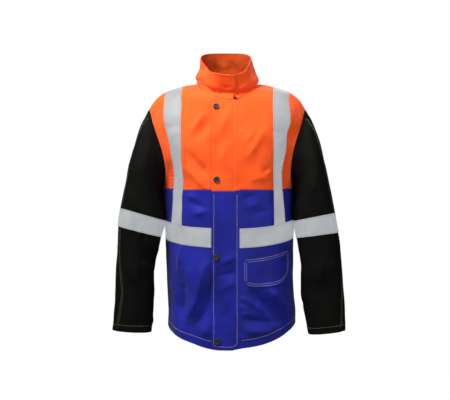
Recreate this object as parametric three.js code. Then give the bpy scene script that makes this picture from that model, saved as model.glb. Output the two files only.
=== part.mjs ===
// A welding jacket, shaped as it hangs on a wearer: a cotton body in orange over blue, black leather
// sleeves, reflective tape, a stand collar and a front flap closed by four snaps.
// Millimetres, +Z up. The front faces -Y and the wearer's left arm is at +X. The origin is the middle
// of the neck opening, level with the points where the shoulder seams meet the collar.

import * as THREE from 'three';

// Walls, and the small gaps that keep the pieces apart
const COTTON = 1.6;
const LEATHER = 2;
const TAPE_WALL = 1;
const FLAP_WALL = 2.2;
const LAYER_GAP = 0.5;
const SEAM_GAP = 0.6;
const SHARP_CREASE = 0.75; // walls that meet more sharply than this cosine are not mitred

// Trim
const TAPE_WIDTH = 50;
const TAPE_INSET = 124; // from the middle of the body to the near edge of a shoulder tape
const TAPE_MARGIN = 7; // least cloth left between a shoulder tape and the armhole
const OPENING_X = 19; // the front panels meet here, on the wearer's left of the middle
const FLAP_FREE_X = -43;
const FLAP_SEWN_X = 27;
const SNAP_DIAMETER = 16.5;
const SNAP_HEIGHT = 3.2;

// How closely each surface is sampled
const INNER_CELLS = 5; // from the opening or the middle to a shoulder tape
const TAPE_CELLS = 2;
const OUTER_CELLS = 3; // from a shoulder tape to the side seam or armhole
const UPPER_ROWS = 12; // from the chest line to the shoulder seam
const NECK_ROWS = { front: 4, back: 4 }; // those of them that end on the neckline
const COLLAR_ROWS = 5;
const SNAP_SEGMENTS = 12;

const HALVINGS = 40; // steps of a search by halving

const SIDES = { right: -1, left: 1 };
const FACES = { front: -1, back: 1 };

// Body below the chest line, from the hem up. steps is the number of rows up to the next level.
const TORSO = [
  { level: 'hem', frontY: -152, frontZ: -694, sideX: 177, sideZ: -660, backY: 138, backZ: -682, steps: 3 },
  { level: 'skirt', frontY: -150, frontZ: -610, sideX: 176, sideZ: -590, backY: 136, backZ: -600, steps: 3 },
  { level: 'hip', frontY: -147, frontZ: -525, sideX: 177, sideZ: -517, backY: 133, backZ: -520, steps: 3 },
  { level: 'waist', frontY: -144, frontZ: -437, sideX: 178, sideZ: -423, backY: 130, backZ: -437, steps: 2 },
  { level: 'ribs', frontY: -142, frontZ: -387, sideX: 180, sideZ: -373, backY: 128, backZ: -387, steps: 4 },
  { level: 'chest', frontY: -139, frontZ: -287, sideX: 184, sideZ: -292, backY: 128, backZ: -290, steps: 0 },
];
const BODY_FULLNESS = 0.6; // an ellipse has 0.55, a squarer section has more
const TAPE_LOW = 3; // the waist tape's lower edge is at the waist level
const TAPE_HIGH = 4; // and its upper edge at the ribs

// Middle of the chest and of the back, from the chest line up to the neckline
const CHEST = [
  { frontY: -139, frontZ: -287, backY: 128, backZ: -290 },
  { frontY: -134, frontZ: -208, backY: 131, backZ: -190 },
  { frontY: -119, frontZ: -125, backY: 118, backZ: -85 },
  { frontY: -97, frontZ: -52, backY: 75, backZ: 18 },
];

// Neckline of the left half, from the middle of the front to the middle of the back
const NECKLINE = [
  { x: 0, y: -97, z: -52 },
  { x: 24, y: -94, z: -48 },
  { x: 45, y: -84, z: -38 },
  { x: 63, y: -64, z: -24 },
  { x: 79, y: -32, z: -10 },
  { x: 87, y: 4, z: 0 },
  { x: 77, y: 42, z: 9 },
  { x: 46, y: 67, z: 15 },
  { x: 0, y: 75, z: 18 },
];
const SHOULDER_POINT = 5;
const NECK_CREEP = { right: 0.18, left: 0 }; // how far along the neckline a panel's first row on it starts

// The shoulder seam leaves the neck almost level and rounds down over the shoulder tip
const SHOULDER_START = { out: 1, down: 0.2 };
const SHOULDER_END = { out: 0.42, down: 1 };
const SHOULDER_FULLNESS = 0.5;

// Top edge of the collar at the same places
const COLLAR_TOP = [
  { x: 0, y: -95, z: 11 },
  { x: 22, y: -91, z: 15 },
  { x: 41, y: -75, z: 25 },
  { x: 56, y: -48, z: 43 },
  { x: 68, y: -14, z: 62 },
  { x: 73, y: 14, z: 79 },
  { x: 63, y: 48, z: 94 },
  { x: 37, y: 64, z: 99 },
  { x: 0, y: 69, z: 100 },
];
const COLLAR_ROLL = 5; // how far the collar rolls out at its sides and back
const COLLAR_ROLL_AT = 0.3; // of the collar's height
const COLLAR_ROLL_SPAN = 0.22;
const COLLAR_FOOT = 0.15; // up to here the collar leaves its seam straight
const COLLAR_FRONT = { calm: 0.7, from: 0.5, to: 0.95 }; // the roll is less where the collar faces forward
const COLLAR_SPLAY = 3; // half of the gap between the collar's ends at the bottom

// Armhole of the left side: up the front from the armpit to the shoulder tip, then down the back
const ARMHOLE = [
  { x: 184, y: 0, z: -292 },
  { x: 174, y: -38, z: -272 },
  { x: 171, y: -62, z: -238 },
  { x: 175, y: -72, z: -200 },
  { x: 184, y: -68, z: -164 },
  { x: 196, y: -54, z: -130 },
  { x: 206, y: -36, z: -102 },
  { x: 213, y: -16, z: -79 },
  { x: 220, y: 6, z: -66 },
  { x: 217, y: 28, z: -75 },
  { x: 213, y: 50, z: -97 },
  { x: 206, y: 66, z: -128 },
  { x: 198, y: 75, z: -163 },
  { x: 191, y: 76, z: -200 },
  { x: 186, y: 66, z: -238 },
  { x: 184, y: 40, z: -272 },
];

// Sleeve sections below the armhole: the outermost and innermost points, the middle's Y, the half depth,
// and how many degrees the section is turned towards the front at its outermost line
const SLEEVES = {
  right: [
    { outerX: -246, outerZ: -122, innerX: -187, innerZ: -304, midY: -14, depth: 73, turn: -2, steps: 1 },
    { outerX: -268, outerZ: -207, innerX: -183, innerZ: -322, midY: -36, depth: 68, turn: -4, steps: 1 },
    { outerX: -282, outerZ: -285, innerX: -177, innerZ: -347, midY: -46, depth: 63, turn: 1, steps: 2 },
    { outerX: -291, outerZ: -341, innerX: -175, innerZ: -373, midY: -54, depth: 60, turn: 3, steps: 2 },
    { outerX: -298, outerZ: -388, innerX: -182, innerZ: -418, midY: -57, depth: 57, turn: 5, steps: 2 },
    { outerX: -300, outerZ: -454, innerX: -193, innerZ: -473, midY: -60, depth: 54, turn: 8, steps: 2 },
    { outerX: -303, outerZ: -518, innerX: -199, innerZ: -523, midY: -64, depth: 51, turn: 25, steps: 2 },
    { outerX: -304, outerZ: -574, innerX: -198, innerZ: -579, midY: -68, depth: 49, turn: 31, steps: 2 },
    { outerX: -310, outerZ: -663, innerX: -204, innerZ: -670, midY: -75, depth: 46, turn: 19, steps: 0 },
  ],
  left: [
    { outerX: 242, outerZ: -122, innerX: 187, innerZ: -304, midY: -14, depth: 73, turn: 5, steps: 1 },
    { outerX: 263, outerZ: -207, innerX: 185, innerZ: -322, midY: -36, depth: 68, turn: 4, steps: 1 },
    { outerX: 279, outerZ: -288, innerX: 182, innerZ: -347, midY: -46, depth: 63, turn: 2, steps: 2 },
    { outerX: 289, outerZ: -355, innerX: 183, innerZ: -374, midY: -54, depth: 60, turn: -1, steps: 2 },
    { outerX: 300, outerZ: -406, innerX: 186, innerZ: -421, midY: -57, depth: 57, turn: -8, steps: 2 },
    { outerX: 304, outerZ: -461, innerX: 192, innerZ: -473, midY: -60, depth: 54, turn: -12, steps: 2 },
    { outerX: 309, outerZ: -511, innerX: 196, innerZ: -517, midY: -64, depth: 51, turn: -3, steps: 2 },
    { outerX: 312, outerZ: -570, innerX: 196, innerZ: -580, midY: -68, depth: 49, turn: 6, steps: 2 },
    { outerX: 315, outerZ: -664, innerX: 217, innerZ: -676, midY: -75, depth: 44, turn: 20, steps: 0 },
  ],
};
const SLEEVE_TAPE = { from: 4, to: 5 }; // between these sections, counting the armhole as the first
const CAP_STEPS = 2; // rows from the armhole to the first section
const SLEEVE_LEAN = 0.12; // the front of a section is higher than its back by this much of the depth
const SLEEVE_SQUARE = 2.25; // power of the section's rounded form
const SLEEVE_SEAMS = { outer: 2, inner: 14 }; // lines counted from the outermost towards the front

// The jacket hangs a little askew: how far its middle lies from the plane X = 0 at each height
const SKEW = [
  { z: -693, x: 11 },
  { z: -600, x: 9 },
  { z: -517, x: 5 },
  { z: -388, x: 5 },
  { z: -290, x: -1 },
  { z: -65, x: -2 },
  { z: 0, x: -2 },
  { z: 90, x: -7 },
];

// The hem hangs lower on the wearer's right than on the left
const HEM_TILT = { rightX: -20, rightDrop: 6, leftX: 177, leftDrop: -3, fadeZ: -560, fullZ: -690 };

// Folds of the body, each a soft ridge or valley along a line seen from the front or from the back
const FOLDS = [
  { face: 'front', fromX: -172, fromZ: -118, toX: -156, toZ: -235, width: 15, height: -8 },
  { face: 'front', fromX: -156, fromZ: -235, toX: -150, toZ: -380, width: 15, height: -5 },
  { face: 'front', fromX: 170, fromZ: -125, toX: 146, toZ: -225, width: 15, height: -8 },
  { face: 'front', fromX: 146, fromZ: -225, toX: 146, toZ: -380, width: 15, height: -5 },
  { face: 'front', fromX: -76, fromZ: -482, toX: -96, toZ: -535, width: 26, height: 7 },
  { face: 'front', fromX: -96, fromZ: -535, toX: -128, toZ: -640, width: 26, height: 7 },
  { face: 'front', fromX: -60, fromZ: -570, toX: -88, toZ: -665, width: 26, height: -5 },
  { face: 'front', fromX: 105, fromZ: -545, toX: 165, toZ: -620, width: 24, height: 6 },
  { face: 'front', fromX: 75, fromZ: -575, toX: 130, toZ: -640, width: 24, height: -5 },
  { face: 'front', fromX: -60, fromZ: -130, toX: -86, toZ: -195, width: 24, height: 5 },
  { face: 'front', fromX: 92, fromZ: -140, toX: 48, toZ: -195, width: 24, height: 5 },
  { face: 'back', fromX: -150, fromZ: -140, toX: -135, toZ: -360, width: 26, height: 7 },
  { face: 'back', fromX: 150, fromZ: -140, toX: 135, toZ: -360, width: 26, height: 7 },
  { face: 'back', fromX: -50, fromZ: -420, toX: -85, toZ: -650, width: 34, height: 7 },
  { face: 'back', fromX: 55, fromZ: -450, toX: 80, toZ: -650, width: 34, height: 7 },
  { face: 'back', fromX: 0, fromZ: -470, toX: 0, toZ: -650, width: 30, height: -6 },
];
const FOLD_CLEAR = 55; // folds fade out within this distance of the side seams' plane

// Dents and swellings of the sleeves: place along the sections, angle from outermost towards the front
const SLEEVE_FOLDS = {
  right: [
    { at: 2.4, angle: 70, length: 0.9, spread: 30, height: 5 },
    { at: 6.1, angle: 160, length: 0.3, spread: 70, height: -3 },
    { at: 6.6, angle: 102, length: 0.3, spread: 50, height: 4 },
    { at: 7.1, angle: 104, length: 0.35, spread: 40, height: -4 },
  ],
  left: [
    { at: 2.4, angle: 75, length: 0.9, spread: 30, height: 5 },
    { at: 6.2, angle: 176, length: 0.3, spread: 70, height: -3 },
    { at: 6.8, angle: 125, length: 0.35, spread: 50, height: 4 },
    { at: 7.6, angle: 117, length: 0.45, spread: 55, height: -5 },
  ],
};

// Pocket flap, seen from the front
const POCKET = {
  nearX: 39,
  farX: 158,
  topNearZ: -465,
  topFarZ: -450,
  topSag: 4,
  bottomZ: -539,
  nearRadius: 22,
  farRadius: 40,
  columns: 10,
  rows: 4,
};
const POCKET_LIFT = 1.9;

const SNAPS = [
  { name: 'snap_top', x: -31, z: -70 },
  { name: 'snap_chest', x: -29, z: -261 },
  { name: 'snap_waist', x: -31, z: -461 },
  { name: 'snap_hem', x: -26, z: -676 },
];

const material = (name, colour, roughness, metalness) =>
  new THREE.MeshStandardMaterial({ name, color: colour, roughness, metalness });
const ORANGE = material('orange cotton', 0xff5a1c, 0.85, 0);
const BLUE = material('blue cotton', 0x2c2c92, 0.85, 0);
const BLACK = material('black split leather', 0x15140f, 0.65, 0);
const SILVER = material('reflective tape', 0xc6c8ca, 0.4, 0.2);
const GUNMETAL = material('gunmetal', 0x3b3d3a, 0.35, 0.9);

const { lerp, smoothstep, clamp, degToRad, euclideanModulo } = THREE.MathUtils;
const vector = (x, y, z) => new THREE.Vector3(x, y, z);

// Every number column of a table at a fractional row
function columnsAt(table, place) {
  const last = table.length - 1;
  const low = Math.min(Math.floor(place), last - 1);
  const part = place - low;
  const row = (index) => table[clamp(index, 0, last)];
  const result = {};
  for (const [name, value] of Object.entries(row(low))) {
    if (typeof value !== 'number') continue;
    const next = row(low + 1)[name];
    const slopeIn = (next - row(low - 1)[name]) / 2;
    const slopeOut = (row(low + 2)[name] - value) / 2;
    const rise = 3 * (next - value) - 2 * slopeIn - slopeOut;
    const bend = slopeIn + slopeOut - 2 * (next - value);
    result[name] = value + part * (slopeIn + part * (rise + part * bend));
  }
  return result;
}

// Fractional rows of a table, dividing each step as its steps column says
function placesOf(table) {
  const places = [];
  table.forEach((row, index) => {
    for (let step = 0; step < row.steps; step += 1) places.push(index + step / row.steps);
  });
  places.push(table.length - 1);
  return places;
}

function skewAt(z) {
  const above = SKEW.findIndex((row) => row.z >= z);
  if (above <= 0) return above === 0 ? SKEW[0].x : SKEW[SKEW.length - 1].x;
  const low = SKEW[above - 1];
  const high = SKEW[above];
  return lerp(low.x, high.x, (z - low.z) / (high.z - low.z));
}

function hemDrop(point) {
  const across = clamp((point.x - HEM_TILT.rightX) / (HEM_TILT.leftX - HEM_TILT.rightX), 0, 1);
  const share = smoothstep(-point.z, -HEM_TILT.fadeZ, -HEM_TILT.fullZ);
  return share * lerp(HEM_TILT.rightDrop, HEM_TILT.leftDrop, across);
}

const skewed = (point) => vector(point.x + skewAt(point.z), point.y, point.z);

// A closed curve through points that are mirrored from the left half
function mirroredLoop(half) {
  const left = half.map((row) => skewed(row));
  const right = half.slice(1, -1).reverse().map((row) => skewed({ x: -row.x, y: row.y, z: row.z }));
  return new THREE.CatmullRomCurve3([...left, ...right], true);
}

const neckline = mirroredLoop(NECKLINE);
const collarTop = mirroredLoop(COLLAR_TOP);
const loopPoint = (loop, part) => loop.getPoint(euclideanModulo(part, 1));
const NECK_STEP = 1 / (2 * (NECKLINE.length - 1));

// Where the neckline crosses the front opening
function openingOnNeck() {
  let low = 0;
  let high = 2 * NECK_STEP;
  for (let turn = 0; turn < HALVINGS; turn += 1) {
    const middle = (low + high) / 2;
    if (neckline.getPoint(middle).x < OPENING_X) low = middle;
    else high = middle;
  }
  return low;
}
const OPENING_ON_NECK = openingOnNeck();

const armholes = {};
for (const [name, side] of Object.entries(SIDES)) {
  const points = ARMHOLE.map((row) => skewed({ x: side * row.x, y: row.y, z: row.z }));
  armholes[name] = new THREE.CatmullRomCurve3(points, true);
}

// A row of the body from its middle or neckline out to one side, measured along its length
class BodyRow {
  constructor(inner, outer, startHeading, endHeading, fullness) {
    const span = outer.clone().sub(inner);
    const start = startHeading.clone().multiplyScalar(fullness * Math.abs(span.dot(startHeading)));
    const end = endHeading.clone().multiplyScalar(fullness * Math.abs(span.dot(endHeading)));
    this.curve = new THREE.CubicBezierCurve3(inner, inner.clone().add(start), outer.clone().sub(end), outer);
    this.length = this.curve.getLength();
  }

  at(arc) {
    const point = this.curve.getPointAt(clamp(arc / this.length, 0, 1));
    point.z -= hemDrop(point);
    return point;
  }

  arcAtDistance(distance) {
    const middle = this.at(0);
    let low = 0;
    let high = this.length;
    for (let turn = 0; turn < HALVINGS; turn += 1) {
      const arc = (low + high) / 2;
      if (Math.abs(this.at(arc).x) < distance) low = arc;
      else high = arc;
    }
    return Math.abs(middle.x) > distance ? 0 : low;
  }
}

function lowerRow(face, side, place) {
  const row = columnsAt(TORSO, place);
  const inner = skewed(vector(0, row[`${face}Y`], row[`${face}Z`]));
  const outer = skewed(vector(side * row.sideX, 0, row.sideZ));
  return new BodyRow(inner, outer, vector(side, 0, 0), vector(0, -FACES[face], 0), BODY_FULLNESS);
}

function neckPart(face, sideName, share) {
  const side = SIDES[sideName];
  const shoulder = side * SHOULDER_POINT * NECK_STEP;
  const creep = share === 0 ? 0 : NECK_CREEP[sideName];
  if (face === 'front') return lerp(OPENING_ON_NECK, shoulder, creep + (1 - creep) * share);
  return lerp(side * (NECKLINE.length - 1) * NECK_STEP, shoulder, share);
}

function upperRow(face, sideName, index) {
  const side = SIDES[sideName];
  const share = index / UPPER_ROWS;
  const chestRows = UPPER_ROWS - NECK_ROWS[face];
  const onNeck = Math.max(0, (index - chestRows) / NECK_ROWS[face]);
  const outer = armholes[sideName].getPoint(face === 'front' ? share / 2 : 1 - share / 2);
  const leaving = vector(side * SHOULDER_START.out, 0, -SHOULDER_START.down).normalize();
  const arriving = vector(side * SHOULDER_END.out, 0, -SHOULDER_END.down).normalize();
  let inner = loopPoint(neckline, neckPart(face, sideName, onNeck));
  if (index < chestRows) {
    const middle = columnsAt(CHEST, (index / chestRows) * (CHEST.length - 1));
    inner = skewed(vector(0, middle[`${face}Y`], middle[`${face}Z`]));
  }
  const sideways = vector(side, 0, 0).lerp(leaving, smoothstep(onNeck, 0, 1)).normalize();
  const around = vector(0, -FACES[face], 0).lerp(arriving, smoothstep(share, 0, 1)).normalize();
  return new BodyRow(inner, outer, sideways, around, lerp(BODY_FULLNESS, SHOULDER_FULLNESS, share));
}

const spread = (from, to, count) =>
  Array.from({ length: count }, (_, index) => lerp(from, to, index / count));

// Places along a row, so that grid lines follow the opening, the flap and the shoulder tape
function stations(row, innerArcs) {
  const near = row.arcAtDistance(TAPE_INSET);
  const far = Math.min(near + TAPE_WIDTH, row.length - TAPE_MARGIN);
  return [
    ...innerArcs(near),
    ...spread(near, far, TAPE_CELLS),
    ...spread(far, row.length, OUTER_CELLS),
    row.length,
  ];
}

function frontStations(sideName, row, opposite, belowNeck) {
  if (!belowNeck) return stations(row, (near) => spread(0, near, INNER_CELLS));
  if (sideName === 'left') {
    const sewn = row.arcAtDistance(FLAP_SEWN_X);
    const open = row.arcAtDistance(OPENING_X);
    return stations(row, (near) => [open, ...spread(sewn, near, INNER_CELLS - 1)]);
  }
  const free = row.arcAtDistance(-FLAP_FREE_X);
  const open = -opposite.arcAtDistance(OPENING_X);
  return stations(row, (near) => [...spread(open, free, 2), ...spread(free, near, INNER_CELLS - 2)]);
}

// Skins of the body: grids of points on the outer face, row by row from the hem to the shoulder seam.
// A skin with winding 1 has its columns and rows wound so that their cross product points outwards.
const lowerPlaces = placesOf(TORSO);
const upperIndexes = Array.from({ length: UPPER_ROWS + 1 }, (_, index) => index);
const FRONT_CHEST_ROWS = UPPER_ROWS - NECK_ROWS.front;
const BODY_COLUMNS = INNER_CELLS + TAPE_CELLS + OUTER_CELLS;

function frontGrid(sideName, rowOf, places, lastBelowNeck) {
  const other = sideName === 'left' ? 'right' : 'left';
  return places.map((place) => {
    const row = rowOf(sideName, place);
    const opposite = rowOf(other, place);
    const arcs = frontStations(sideName, row, opposite, place <= lastBelowNeck);
    return arcs.map((arc) => (arc < 0 ? opposite.at(-arc) : row.at(arc)));
  });
}

function backGrid(sideName, rowOf, places) {
  return places.map((place) => {
    const row = rowOf(sideName, place);
    return stations(row, (near) => spread(0, near, INNER_CELLS)).map((arc) => row.at(arc));
  });
}

const skins = {};
for (const [name, side] of Object.entries(SIDES)) {
  const lower = (face) => (sideName, place) => lowerRow(face, SIDES[sideName], place);
  const upper = (face) => (sideName, index) => upperRow(face, sideName, index);
  const addSkin = (skinName, grid, winding) => {
    skins[skinName] = { grid, winding, family: 'body' };
  };
  addSkin(`front_${name}_lower`, frontGrid(name, lower('front'), lowerPlaces, TORSO.length), side);
  addSkin(`front_${name}_upper`, frontGrid(name, upper('front'), upperIndexes, FRONT_CHEST_ROWS), side);
  addSkin(`back_${name}_lower`, backGrid(name, lower('back'), lowerPlaces), -side);
  addSkin(`back_${name}_upper`, backGrid(name, upper('back'), upperIndexes), -side);
}

// Points closer together than a grain are one point
const GRAIN = 0.02;
const keyOf = (point) => [point.x, point.y, point.z].map((value) => Math.round(value / GRAIN)).join();

// Outward direction of each family of skins at every point. Along a seam the families share one
// direction, so that their walls are mitred, except in a sharp crease such as the armpit.
const placeOf = (family, point) => `${family} ${keyOf(point)}`;

function outwardDirections() {
  const sums = new Map();
  for (const { grid, winding, family } of Object.values(skins)) {
    grid.forEach((row, r) =>
      row.forEach((point, c) => {
        const above = grid[Math.min(r + 1, grid.length - 1)][c];
        const below = grid[Math.max(r - 1, 0)][c];
        const along = row[Math.min(c + 1, row.length - 1)].clone().sub(row[Math.max(c - 1, 0)]);
        const normal = along.cross(above.clone().sub(below)).multiplyScalar(winding).normalize();
        const families = sums.get(keyOf(point)) ?? {};
        families[family] = (families[family] ?? vector(0, 0, 0)).add(normal);
        sums.set(keyOf(point), families);
      }),
    );
  }
  const directions = new Map();
  for (const [key, families] of sums) {
    const own = Object.entries(families).map(([family, sum]) => ({ family, direction: sum.normalize() }));
    const shared = own.reduce((sum, { direction }) => sum.add(direction), vector(0, 0, 0)).normalize();
    const sharp = own.some(({ direction }) => direction.dot(shared) < SHARP_CREASE);
    for (const { family, direction } of own) directions.set(`${family} ${key}`, sharp ? direction : shared);
  }
  return directions;
}

function foldHeight(point) {
  const face = point.y < 0 ? 'front' : 'back';
  const flat = new THREE.Vector2(point.x, point.z);
  const fade = smoothstep(Math.abs(point.y), 0, FOLD_CLEAR);
  let height = 0;
  for (const fold of FOLDS.filter((row) => row.face === face)) {
    const from = new THREE.Vector2(fold.fromX, fold.fromZ);
    const along = new THREE.Vector2(fold.toX, fold.toZ).sub(from);
    const share = clamp(flat.clone().sub(from).dot(along) / along.lengthSq(), 0, 1);
    const distance = flat.distanceTo(from.add(along.multiplyScalar(share)));
    height += fade * fold.height * Math.exp(-((distance / fold.width) ** 2));
  }
  return height;
}

const beforeFolds = outwardDirections();
for (const skin of Object.values(skins)) {
  const folded = (point) => {
    const out = beforeFolds.get(placeOf('body', point));
    return point.clone().addScaledVector(out, foldHeight(point));
  };
  skin.grid = skin.grid.map((row) => row.map(folded));
}

// Sleeves: rings from the armhole to the cuff, counted from the outermost line towards the front
const RING = 2 * UPPER_ROWS;

function armholeRing(sideName) {
  const edge = (face) => skins[`${face}_${sideName}_upper`].grid.map((row) => row[BODY_COLUMNS]);
  return [...edge('front').reverse(), ...edge('back').slice(1, -1)];
}

function sectionRing(section) {
  const outer = vector(section.outerX, section.midY, section.outerZ);
  const inner = vector(section.innerX, section.midY, section.innerZ);
  const middle = outer.clone().add(inner).multiplyScalar(0.5);
  const across = outer.sub(middle);
  const forward = vector(0, -section.depth, SLEEVE_LEAN * section.depth);
  const rounded = (value) => Math.sign(value) * Math.abs(value) ** (2 / SLEEVE_SQUARE);
  return Array.from({ length: RING }, (_, index) => {
    const angle = (index / RING) * 2 * Math.PI + degToRad(section.turn);
    const point = middle.clone().addScaledVector(across, rounded(Math.cos(angle)));
    return point.addScaledVector(forward, rounded(Math.sin(angle)));
  });
}

function sleeveFoldHeight(sideName, place, index) {
  let height = 0;
  for (const fold of SLEEVE_FOLDS[sideName]) {
    const turn = euclideanModulo((index / RING) * 360 - fold.angle + 180, 360) - 180;
    height += fold.height * Math.exp(-(((place - fold.at) / fold.length) ** 2) - (turn / fold.spread) ** 2);
  }
  return place === 0 ? 0 : height;
}

const sleeveSections = (sideName) => [{ steps: CAP_STEPS }, ...SLEEVES[sideName]];

function sleeveGrid(sideName) {
  const rings = [armholeRing(sideName), ...SLEEVES[sideName].map(sectionRing)];
  const paths = rings[0].map((_, index) => rings.map((ring) => ({ ...ring[index] })));
  return placesOf(sleeveSections(sideName)).map((place) => {
    const points = paths.map((path) => vector().copy(columnsAt(path, place)));
    const middle = points.reduce((sum, point) => sum.add(point), vector(0, 0, 0)).divideScalar(RING);
    return points.map((point, index) => {
      const outward = point.clone().sub(middle).normalize();
      return point.addScaledVector(outward, sleeveFoldHeight(sideName, place, index));
    });
  });
}

for (const [name, side] of Object.entries(SIDES)) {
  const grid = sleeveGrid(name);
  const { outer, inner } = SLEEVE_SEAMS;
  const columns = (from, to) => grid.map((row) => [...row, ...row].slice(from, to + 1));
  skins[`${name}_sleeve_front`] = { grid: columns(outer, inner), winding: side, family: 'sleeve' };
  skins[`${name}_sleeve_back`] = { grid: columns(inner, outer + RING), winding: side, family: 'sleeve' };
}

// Collar: from the opening round the wearer's left side, the back and the right side to the opening again
function collarGrid() {
  const neckRows = (face, sideName) => skins[`${face}_${sideName}_upper`].grid.slice(-NECK_ROWS[face] - 1);
  const parts = (face, sideName) =>
    neckRows(face, sideName).map((row, index) => ({
      base: row[0],
      top: loopPoint(collarTop, neckPart(face, sideName, index / NECK_ROWS[face])),
    }));
  const columns = [
    ...parts('front', 'left'),
    ...parts('back', 'left').reverse().slice(1),
    ...parts('back', 'right').slice(1),
    ...parts('front', 'right').reverse().slice(1),
  ];
  return Array.from({ length: COLLAR_ROWS + 1 }, (_, index) => {
    const height = index / COLLAR_ROWS;
    const start = smoothstep(height, 0, COLLAR_FOOT);
    const roll = COLLAR_ROLL * Math.exp(-(((height - COLLAR_ROLL_AT) / COLLAR_ROLL_SPAN) ** 2)) * start;
    return columns.map(({ base, top }, column) => {
      const point = base.clone().lerp(top, height);
      const outward = vector(point.x - skewAt(point.z), point.y, 0).normalize();
      const facing = smoothstep(-outward.y, COLLAR_FRONT.from, COLLAR_FRONT.to);
      point.addScaledVector(outward, roll * (1 - COLLAR_FRONT.calm * facing));
      const splay = SEAM_GAP / 2 + COLLAR_SPLAY * (1 - height) * start;
      if (column === 0) point.x += splay;
      if (column === columns.length - 1) point.x -= splay;
      return point;
    });
  });
}

skins.collar = { grid: collarGrid(), winding: 1, family: 'collar' };

const outwards = outwardDirections();

// Cells of a skin between two rows and two columns, wound to face outwards
function cells(name, rows = [0, Infinity], columns = [0, Infinity]) {
  const { grid, winding } = skins[name];
  const result = [];
  for (let r = rows[0]; r < Math.min(rows[1], grid.length - 1); r += 1) {
    for (let c = columns[0]; c < Math.min(columns[1], grid[0].length - 1); c += 1) {
      const beside = grid[r][c + 1];
      const above = grid[r + 1][c];
      const second = winding > 0 ? beside : above;
      const fourth = winding > 0 ? above : beside;
      result.push([grid[r][c], second, grid[r + 1][c + 1], fourth]);
    }
  }
  return result;
}

// Edges that belong to one cell only
function freeEdges(quads) {
  const found = new Map();
  for (const quad of quads) {
    quad.forEach((from, index) => {
      const to = quad[(index + 1) % 4];
      const reverse = `${keyOf(to)}|${keyOf(from)}`;
      if (found.has(reverse)) found.delete(reverse);
      else found.set(`${keyOf(from)}|${keyOf(to)}`, [from, to]);
    });
  }
  return [...found.values()];
}

// How each point of a piece's edge is drawn in towards the cells beside it, so that neighbours stay apart
function edgeInsets(quads, edges) {
  const insets = new Map(edges.map(([from]) => [keyOf(from), vector(0, 0, 0)]));
  for (const quad of quads) {
    const middle = quad.reduce((sum, corner) => sum.add(corner), vector(0, 0, 0)).divideScalar(4);
    for (const corner of quad) insets.get(keyOf(corner))?.add(middle.clone().sub(corner).normalize());
  }
  insets.forEach((inset) => inset.setLength(SEAM_GAP / 2));
  return insets;
}

// A sheet of the given cells as a solid, from one height above the skin to another
function sheetSolid(quads, bottom, top, family) {
  const edges = freeEdges(quads);
  const insets = edgeInsets(quads, edges);
  const indexes = new Map();
  const positions = [];
  const indexOf = (point) => {
    const key = keyOf(point);
    if (!indexes.has(key)) {
      indexes.set(key, positions.length / 3);
      const foot = point.clone().add(insets.get(key) ?? vector(0, 0, 0));
      const out = outwards.get(placeOf(family, point));
      for (const height of [top, bottom]) positions.push(...foot.clone().addScaledVector(out, height));
    }
    return indexes.get(key);
  };
  const faces = [];
  for (const quad of quads) {
    const [a, b, c, d] = quad.map(indexOf);
    faces.push(a, b, c, a, c, d);
    faces.push(c + 1, b + 1, a + 1, d + 1, c + 1, a + 1);
  }
  for (const edge of edges) {
    const [from, to] = edge.map(indexOf);
    faces.push(to, from, from + 1, to, from + 1, to + 1);
  }
  const geometry = new THREE.BufferGeometry();
  geometry.setAttribute('position', new THREE.Float32BufferAttribute(positions, 3));
  geometry.setIndex(faces);
  geometry.computeVertexNormals();
  return geometry;
}

const group = new THREE.Group();

function addPiece(name, geometry, surface) {
  const mesh = new THREE.Mesh(geometry, surface);
  mesh.name = name;
  group.add(mesh);
}

const addPanel = (name, quads, surface, wall, family = 'body') =>
  addPiece(name, sheetSolid(quads, -wall, 0, family), surface);
const addTrim = (name, quads, surface, wall, family = 'body', lift = LAYER_GAP) =>
  addPiece(name, sheetSolid(quads, lift, lift + wall, family), surface);

// Panels, sleeves and collar
for (const name of Object.keys(SIDES)) {
  addPanel(`front_${name}_upper`, cells(`front_${name}_upper`), ORANGE, COTTON);
  addPanel(`front_${name}_lower`, cells(`front_${name}_lower`), BLUE, COTTON);
}
addPanel('back_upper', [...cells('back_right_upper'), ...cells('back_left_upper')], ORANGE, COTTON);
addPanel('back_lower', [...cells('back_right_lower'), ...cells('back_left_lower')], BLUE, COTTON);
addPanel('collar', cells('collar'), ORANGE, COTTON, 'collar');
for (const name of Object.keys(SIDES)) {
  addPanel(`${name}_sleeve_front`, cells(`${name}_sleeve_front`), BLACK, LEATHER, 'sleeve');
  addPanel(`${name}_sleeve_back`, cells(`${name}_sleeve_back`), BLACK, LEATHER, 'sleeve');
}

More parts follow.
